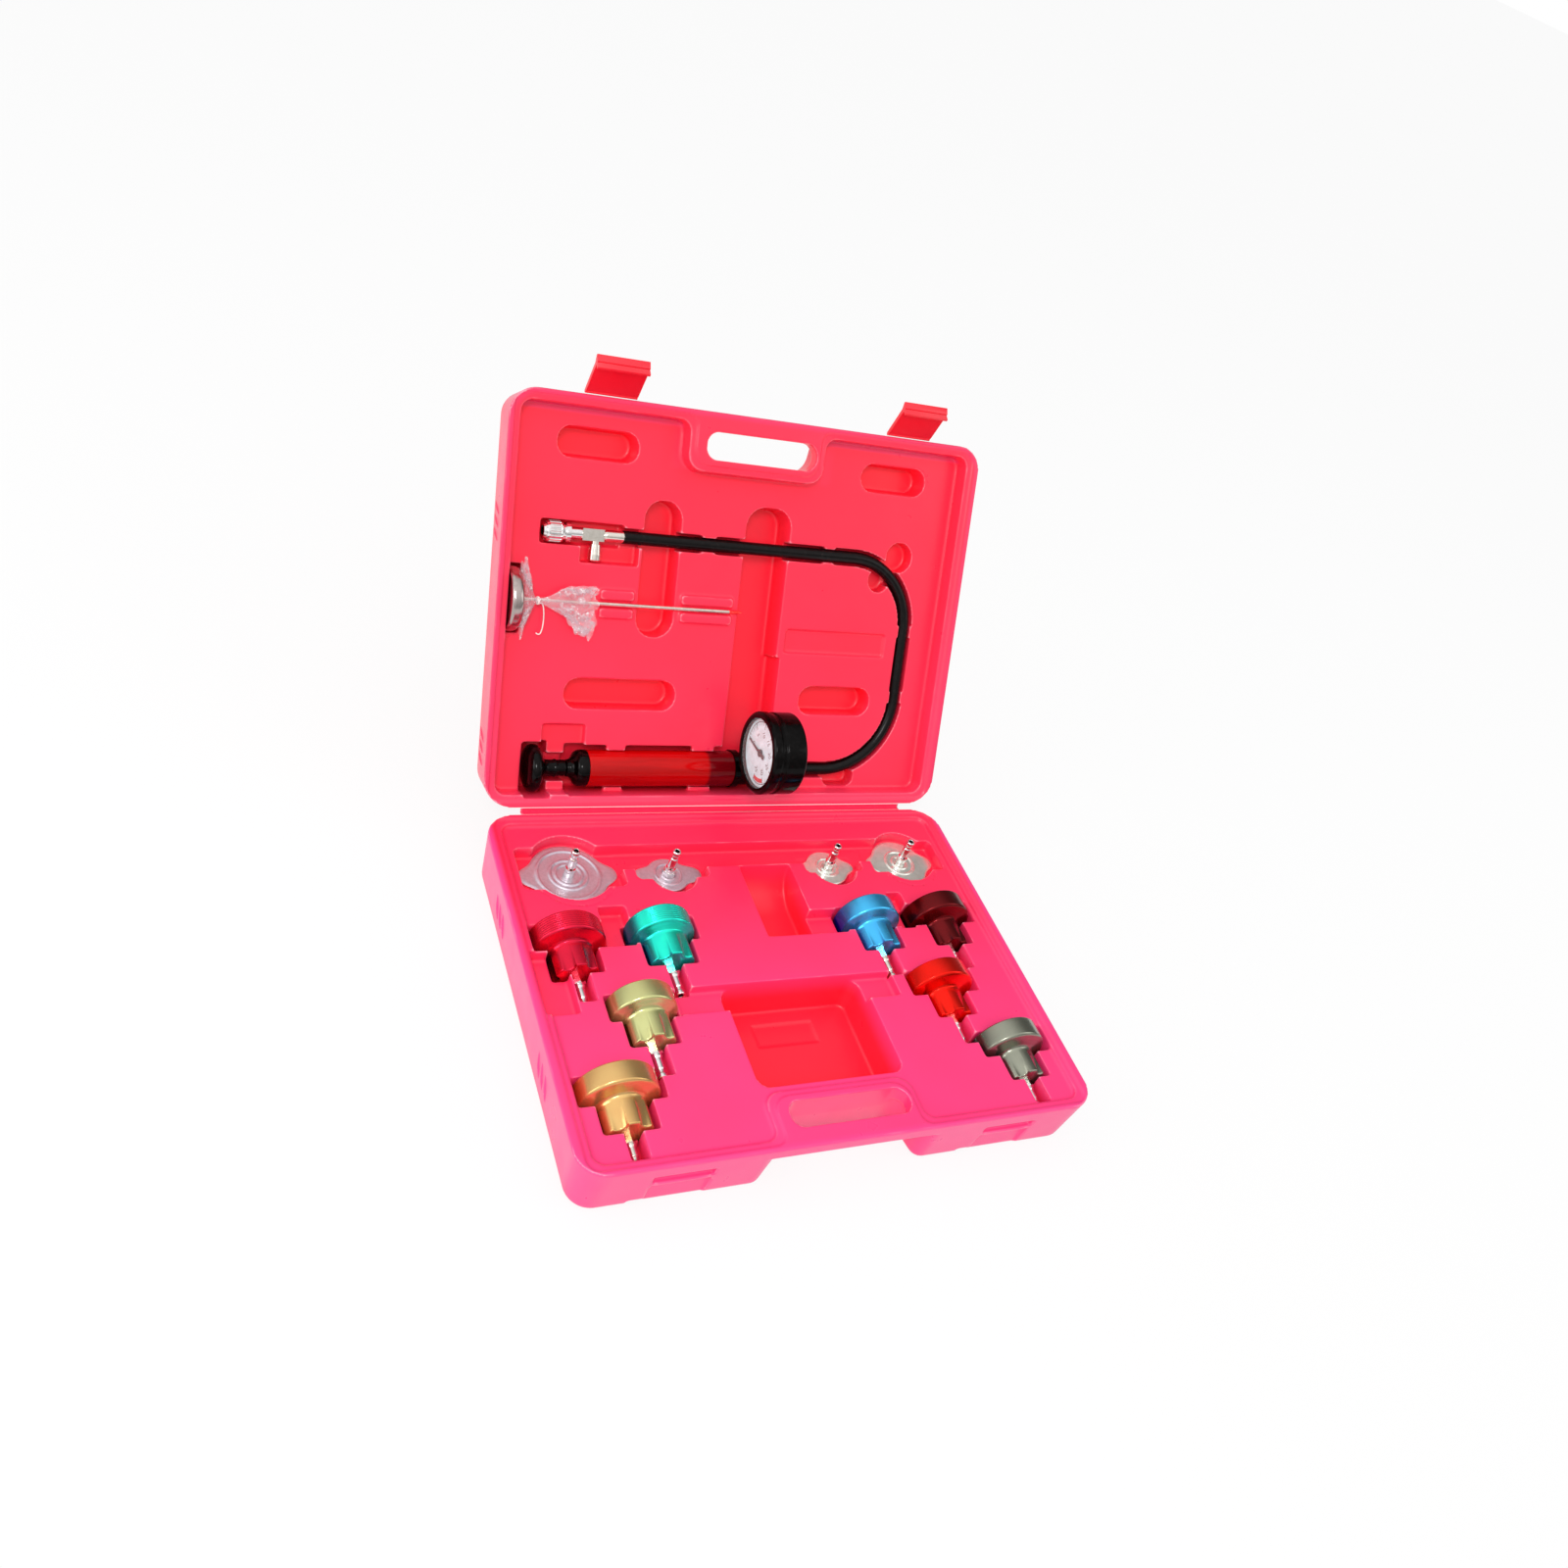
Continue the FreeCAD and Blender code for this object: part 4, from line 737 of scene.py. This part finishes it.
def eared(disc, ears, spread):
    """The cap's outline: a disc whose rim runs out into two ears along x.

    An ear's reach falls from its middle as exp(-(angle / spread) ** 2.6).
    """
    def shape(along, radius, angle):
        turn = np.abs(angle % np.pi - np.pi / 2)
        reach = (ears / disc - 1) * np.exp(-(turn / spread) ** 2.6)
        rim = smooth_step(disc * 0.80, disc, radius) * (along > -1.8)
        return radius * (1 + reach * rim)
    return shape


for name, (spread, plate, rings) in CAPS.items():
    centre, low, high = middle(name)
    ears = (high[0] - low[0]) / 2 / MM
    disc = (high[1] - low[1]) / 2 / MM
    pressed = 0.75
    top = high[2] - 0.8 * MM
    skirt = disc - 2.4
    rise = [(0.0, BORE)]
    for ring in rings:
        rise += [(0.0, disc * (ring - 0.05)), (pressed, disc * (ring - 0.02)),
                 (pressed, disc * (ring + 0.02)), (0.0, disc * (ring + 0.05))]
    rise += [(0.0, disc * 0.94), (-0.5, disc - 0.2), (-0.9, disc), (-1.5, disc - 0.2),
             (-1.5, skirt + 0.2), (-2.4, skirt), (-10.4, skirt), (-11.0, skirt - 0.7),
             (-10.4, skirt - 1.4), (-1.5, skirt - 1.4), (-1.5, BORE)]
    spot = np.array([centre[0], centre[1], top])
    give(turned(f"{name}_pressing", rise, spot, (0, 0, 1), soft=0.5, around=144,
                shape=eared(disc, ears, spread), closed=True),
         {"dull": dull_zinc, "bright": pressed_steel}[plate], name, name)
    nut, stem = 4.8 if name == "hex_cap" else 0, 25.5
    give(turned(f"{name}_quick_stem", nipple_corners(stem, nut), spot, (0, 0, 1), soft=0.35,
                around=72, shape=hexagonal(HEX, nut) if nut else None),
         bright_steel, name, f"{name}_nipple")
    paint(f"{name}_seal", seal_rubber)


# ------------------------------------------------------------------ hand pump

def along_x(name, node, corners, finish, body, soft=0.6, around=120, closed=False, shape=None):
    """A turned piece that stands for a node whose axis runs along x, from its left end."""
    centre, low, high = middle(node)
    spot = np.array([low[0], centre[1], centre[2]])
    return give(turned(name, corners, spot, (1, 0, 0), soft, around, shape, closed),
                finish, body, node)


along_x("barrel_tube", "pump_barrel", [
    (0, 12.2), (0, 14), (119.5, 14), (119.5, 12.2)], barrel_red, "tester", 0.4, closed=True)
along_x("knob_turning", "pump_knob", [
    (0, 0), (0, 9), (0.4, 12.5), (1.4, 15.4), (3.4, 17.5), (6.0, 18), (8.6, 17.4), (10.4, 15),
    (11.8, 10.6), (14.0, 7.6), (16.6, 6.3), (21, 6.2), (23, 6.9), (24.5, 6.2), (31.1, 6.2),
    (31.1, 0)], knob_black, "plunger", 1.4)
along_x("end_bell", "pump_end_cap", [
    (0, 4.05), (0, 6.4), (2.6, 6.9), (4.8, 8.6), (6.8, 12.2), (8.8, 13.6), (11.2, 14), (15.5, 14),
    (15.5, 4.05)], knob_black, "tester", 1.0, closed=True)
paint("pump_rod", bright_steel)
paint("pump_piston", seal_rubber)
paint("pump_head", boot_rubber)


# ------------------------------------------------------------------ gauge

def grip_ribs(along, radius, angle):
    """Shallow bars round the boot's middle band."""
    bars = 0.5 + 0.5 * np.cos(angle * 24)
    band = smooth_step(12.6, 13.4, along) * smooth_step(25.4, 24.4, along) * (radius > 28)
    return radius + 0.35 * bars ** 3 * band - 0.35 * band


along_x("gauge_boot", "gauge_case", [
    (5.0, 0), (5.0, 26.5), (0.0, 26.5), (0.0, 29.6), (1.6, 31.5), (7.0, 31.5), (7.8, 30.2),
    (11.0, 30.2), (12.0, 31.2), (26.0, 31.2), (27.4, 30.6), (29.0, 27.0), (29.0, 12.0),
    (28.2, 10.5), (28.2, 0)], boot_rubber, "gauge_head", 0.6, 144, shape=grip_ribs)
along_x("dial_plate", "gauge_dial", [(0, 0), (0, 26.2), (0.3, 26.4), (1.0, 26.4), (1.0, 0)],
        dial_white, "gauge_head", 0.15)
along_x("lens_disc", "gauge_lens", [(0.5, 0), (0.2, 22), (0.5, 25.6), (0.9, 26.4), (1.6, 26.4),
                                   (1.6, 0)], lens_clear, "gauge_head", 0.3)


def dial_marks():
    """Scale of a pressure dial: strokes, an arc of red and round numbers.

    Strokes are short bars on a circle over 270 degrees; each lies just off the plate. The
    dial is rolled back by some degrees from the lid's slope.
    """
    centre, low, high = middle("gauge_dial")
    face = low[0] - 0.06 * MM
    rolled, first, last = 25.0, -135, 135
    lean = math.radians(LID_DEGREES - rolled)
    up = np.array([0.0, -math.sin(lean), math.cos(lean)])
    right = np.array([0.0, -math.cos(lean), -math.sin(lean)])
    hub = np.array([face, centre[1], centre[2]])

    def place(radius, degrees):
        turn = np.radians(degrees)
        return hub + MM * (np.multiply.outer(radius * np.sin(turn), right)
                           + np.multiply.outer(radius * np.cos(turn), up))

    def bars(name, starts, finish, inner, outer, half):
        starts = np.asarray(starts, float)
        quads = np.stack([place(inner, starts - half), place(outer, starts - half),
                          place(outer, starts + half), place(inner, starts + half)], axis=1)
        mesh = bpy.data.meshes.new(name)
        mesh.from_pydata(quads.reshape(-1, 3), [],
                         np.arange(len(starts) * 4).reshape(-1, 4))
        piece = bpy.data.objects.new(name, mesh)
        bpy.context.scene.collection.objects.link(piece)
        return give(piece, finish, "gauge_head")

    bars("long_strokes", np.linspace(first, last, 8), print_black, 18.6, 23.4, 1.0)
    bars("short_strokes", np.linspace(first, last, 36), print_black, 21.0, 23.4, 0.4)
    bars("scale_line", np.arange(first, last, 2.5) + 1.25, print_black, 23.4, 23.9, 1.26)
    bars("red_zone", np.arange(96.4, last, 2.5) + 1.25, print_red, 19.4, 22.6, 1.26)
    for i, degrees in enumerate(np.linspace(first, last, 8)):
        label = bpy.data.curves.new(f"figure_{i}", "FONT")
        label.body, label.size = str(i * 5), 5.2 * MM
        label.align_x, label.align_y = "CENTER", "CENTER"
        text = bpy.data.objects.new(f"figure_{i}", label)
        bpy.context.scene.collection.objects.link(text)
        mesh = bpy.data.meshes.new_from_object(
            text.evaluated_get(bpy.context.evaluated_depsgraph_get()))
        bpy.data.objects.remove(text)
        spot = place(14.4, degrees)
        turn = Matrix((right, up, (-1.0, 0.0, 0.0))).transposed()
        mesh.transform(Matrix.Translation(spot) @ turn.to_4x4())
        figure = bpy.data.objects.new(f"figure_{i}", mesh)
        bpy.context.scene.collection.objects.link(figure)
        give(figure, print_black, "gauge_head")


dial_marks()
paint("gauge_needle", print_black)


# ------------------------------------------------------------------ hose, coupler, valve
paint("hose", hose_rubber)
paint("coupler_body", bright_steel)
paint("coupler_sleeve", bright_steel)
paint("release_tee", nickel)
paint("release_button", nickel)


# ------------------------------------------------------------------ dial thermometer
along_x("thermometer_dial_case", "thermometer_head", [
    (0.6, 0), (0.6, 20.5), (0, 21.2), (0.5, 22.4), (2.0, 23), (6.0, 23), (8.0, 22.2),
    (9.3, 19.5), (9.9, 12), (10.5, 7), (10.5, 0)], reflection_toned_steel, "thermometer", 1.0)
paint("thermometer_stem", warm_steel)
paint("thermometer_sheath", sheath_red)


def tube(name, points, radius, around=10):
    """A round section carried along a line of points, closed at both ends."""
    way = np.gradient(points, axis=0)
    way /= np.linalg.norm(way, axis=1)[:, None]
    side = np.cross(way, OFF_LID)
    side /= np.linalg.norm(side, axis=1)[:, None]
    other = np.cross(way, side)
    angle = np.linspace(0, 2 * np.pi, around, endpoint=False)
    ring = (np.cos(angle)[None, :, None] * side[:, None, :]
            + np.sin(angle)[None, :, None] * other[:, None, :]) * radius * MM
    grid = points[:, None, :] + ring
    ends = [np.repeat(points[i][None, None, :], around, axis=1) for i in (0, -1)]
    return skin(name, np.concatenate([ends[0], grid, ends[1]], axis=0))


def film_pouch():
    """Clear bag over the dial, tied at its neck and fanned out past the tie.

    Its half-width along the stem is a cone that shrinks to the tie and flares again; sines of
    the angle, with a phase that runs along the stem, crumple it, and it is flattened towards
    the panel. A tanh holds its upper side clear of the adapter that faces it in the shut case.
    """
    near_end, tie, far_end, stem_v, stem_h, thread = -173.0, -160.2, -118.5, 153.1, -8.4, 0.45
    x = np.concatenate([np.linspace(near_end, tie - 0.3, 26), np.linspace(tie + 0.2, far_end, 70)])
    angle = np.linspace(0, 2 * np.pi, 150, endpoint=False)
    s, a = np.meshgrid(x, angle, indexing="ij")
    neck = 2.2
    dial_side = neck + 20.5 * smooth_step(-161.5, near_end, s)
    fan = neck + 16.5 * smooth_step(-159.5, -119.0, s) ** 0.9
    size = np.where(s < tie, dial_side, fan)
    loose = np.clip((size - neck) / 10, 0, 1)
    folds = (0.20 * np.sin(7 * a + 0.18 * s) + 0.14 * np.sin(12 * a - 0.31 * s + 1.3)
             + 0.09 * np.sin(23 * a + 0.55 * s) + 0.06 * np.sin(37 * a - 0.9 * s))
    r = size * (1 + folds * loose)
    tall = np.where(s < tie, 0.42, 0.26)
    spread = r * np.cos(a) + 2.5 * loose * np.sin(0.21 * s)
    room = 13.8
    v = stem_v + np.where((spread > 0) & (s > tie), room * np.tanh(spread / room), spread)
    h = -7.6 + r * np.sin(a) * tall + 1.2 * loose * np.cos(5 * a + 0.4 * s)
    h = np.clip(h, -13.6, 1.0)
    ragged = s + 1.6 * np.sin(9 * a) * smooth_step(-124.0, far_end, s)
    grid = (HINGE + np.multiply.outer(ragged * MM, (1.0, 0.0, 0.0))
            + np.multiply.outer(v * MM, UP_LID) + np.multiply.outer(h * MM, OFF_LID))
    piece = skin("film_pouch", grid, sharp=60.0)
    give(piece, pouch_film, "thermometer", "thermometer_pouch")
    turns = np.linspace(0, 2 * np.pi, 160)
    ring = np.stack([tie - 0.2 + 0.7 * np.sin(3 * turns), stem_v + 2.6 * np.cos(turns * 2),
                     stem_h + 2.4 * np.sin(turns * 2)], axis=1)
    loop_t = np.linspace(0, 1, 60)
    tail = np.stack([tie - 0.2 + 5.0 * np.sin(loop_t * np.pi) + 1.0 * loop_t,
                     150.6 - 21 * loop_t + 5.0 * np.sin(loop_t * 2 * np.pi),
                     -8.0 - 3.5 * loop_t], axis=1)
    for label, line in (("tie_ring", ring), ("tie_tail", tail)):
        points = HINGE + MM * (np.multiply.outer(line[:, 0], (1.0, 0.0, 0.0))
                               + np.multiply.outer(line[:, 1], UP_LID)
                               + np.multiply.outer(line[:, 2], OFF_LID))
        give(tube(label, points, thread), thread_white, "thermometer")


film_pouch()


# ------------------------------------------------------------------ floor, light, camera

def floor_finish():
    """White floor: it shows as white to the camera and to metal, and keeps a soft shadow."""
    f = Finish("floor_white")
    ray = f.add("ShaderNodeLightPath", outlet="Is Camera Ray")
    gloss = f.add("ShaderNodeLightPath", outlet="Is Glossy Ray")
    clear = f.add("ShaderNodeLightPath", outlet="Is Transmission Ray")
    seen = (ray + gloss + clear).math("MINIMUM", 1.0)
    grain = f.noise(3.0, 2.0)
    paper = f.add("ShaderNodeBsdfDiffuse", None, {
        "Color": f.mixed(grain, (0.86, 0.86, 0.86), (0.88, 0.88, 0.88))})
    glow = f.add("ShaderNodeEmission", None, {"Color": (1.0, 1.0, 1.0, 1.0), "Strength": 1.0})
    both = f.add("ShaderNodeMixShader", None, {0: seen * 0.86, 1: paper, 2: glow})
    end = f.tree.nodes.new("ShaderNodeOutputMaterial")
    f.tree.links.new(both.socket, end.inputs["Surface"])
    return f.material


bpy.ops.mesh.primitive_plane_add(size=60.0, location=(0.0, 0.0, -0.0002))
floor = bpy.context.object
floor.name = "floor"
floor.data.materials.append(floor_finish())


def studio_sky():
    """Even white light, with a soft bright ceiling and a dim wall for metal to mirror."""
    f = Finish("sky")
    world = bpy.data.worlds.new("studio")
    world.use_nodes = True
    bpy.data.materials.remove(f.material)
    f.tree = world.node_tree
    f.tree.nodes.clear()
    ray = f.add("ShaderNodeTexCoord", outlet="Generated")
    ceiling = f.along(ray, (-0.35, -0.25, 0.9)).band(0.15, 0.95)
    wall = f.along(ray, (0.8, 0.5, 0.1)).band(0.2, 0.9)
    seen = f.add("ShaderNodeLightPath", outlet="Is Camera Ray")
    light = (ceiling * 0.75 + 0.38 - wall * 0.22).math("MAXIMUM", seen)
    glow = f.add("ShaderNodeBackground", None, {"Color": (1.0, 1.0, 1.0, 1.0),
                                                "Strength": light})
    end = f.tree.nodes.new("ShaderNodeOutputWorld")
    f.tree.links.new(glow.socket, end.inputs["Surface"])
    bpy.context.scene.world = world


studio_sky()


def lamp(name, spot, aim, width, watts):
    """A soft square lamp that points at a place."""
    light = bpy.data.lights.new(name, "AREA")
    light.shape, light.size, light.energy = "SQUARE", width, watts
    stand = bpy.data.objects.new(name, light)
    stand.location = spot
    stand.rotation_euler = (Vector(aim) - Vector(spot)).to_track_quat("-Z", "Y").to_euler()
    bpy.context.scene.collection.objects.link(stand)


lamp("key", (-0.9, -1.1, 1.7), (0.0, 0.05, 0.1), 0.45, 15.0)
lamp("fill", (1.6, -0.7, 1.2), (0.0, 0.05, 0.1), 1.2, 5.0)
lamp("side", (-1.5, 0.0, 0.6), (0.0, 0.1, 0.15), 0.7, 4.5)

camera = bpy.data.cameras.new("camera")
film_wide, focal_pixels, picture_pixels = 36.0, 1352.4, 1600
camera.sensor_width, camera.lens = film_wide, film_wide * focal_pixels / picture_pixels
camera.clip_start = 0.01
viewer = bpy.data.objects.new("camera", camera)
right = Vector((0.884896, -0.334707, 0.323929))
down = Vector((-0.002609, -0.698992, -0.715125))
ahead = Vector((0.465781, 0.631966, -0.619409))
turn = Matrix((right, -down, -ahead)).transposed().to_4x4()
viewer.matrix_world = Matrix.Translation((-0.44378, -0.50963, 0.72027)) @ turn
bpy.context.scene.collection.objects.link(viewer)
bpy.context.scene.camera = viewer
bpy.context.scene.view_settings.view_transform = "Standard"
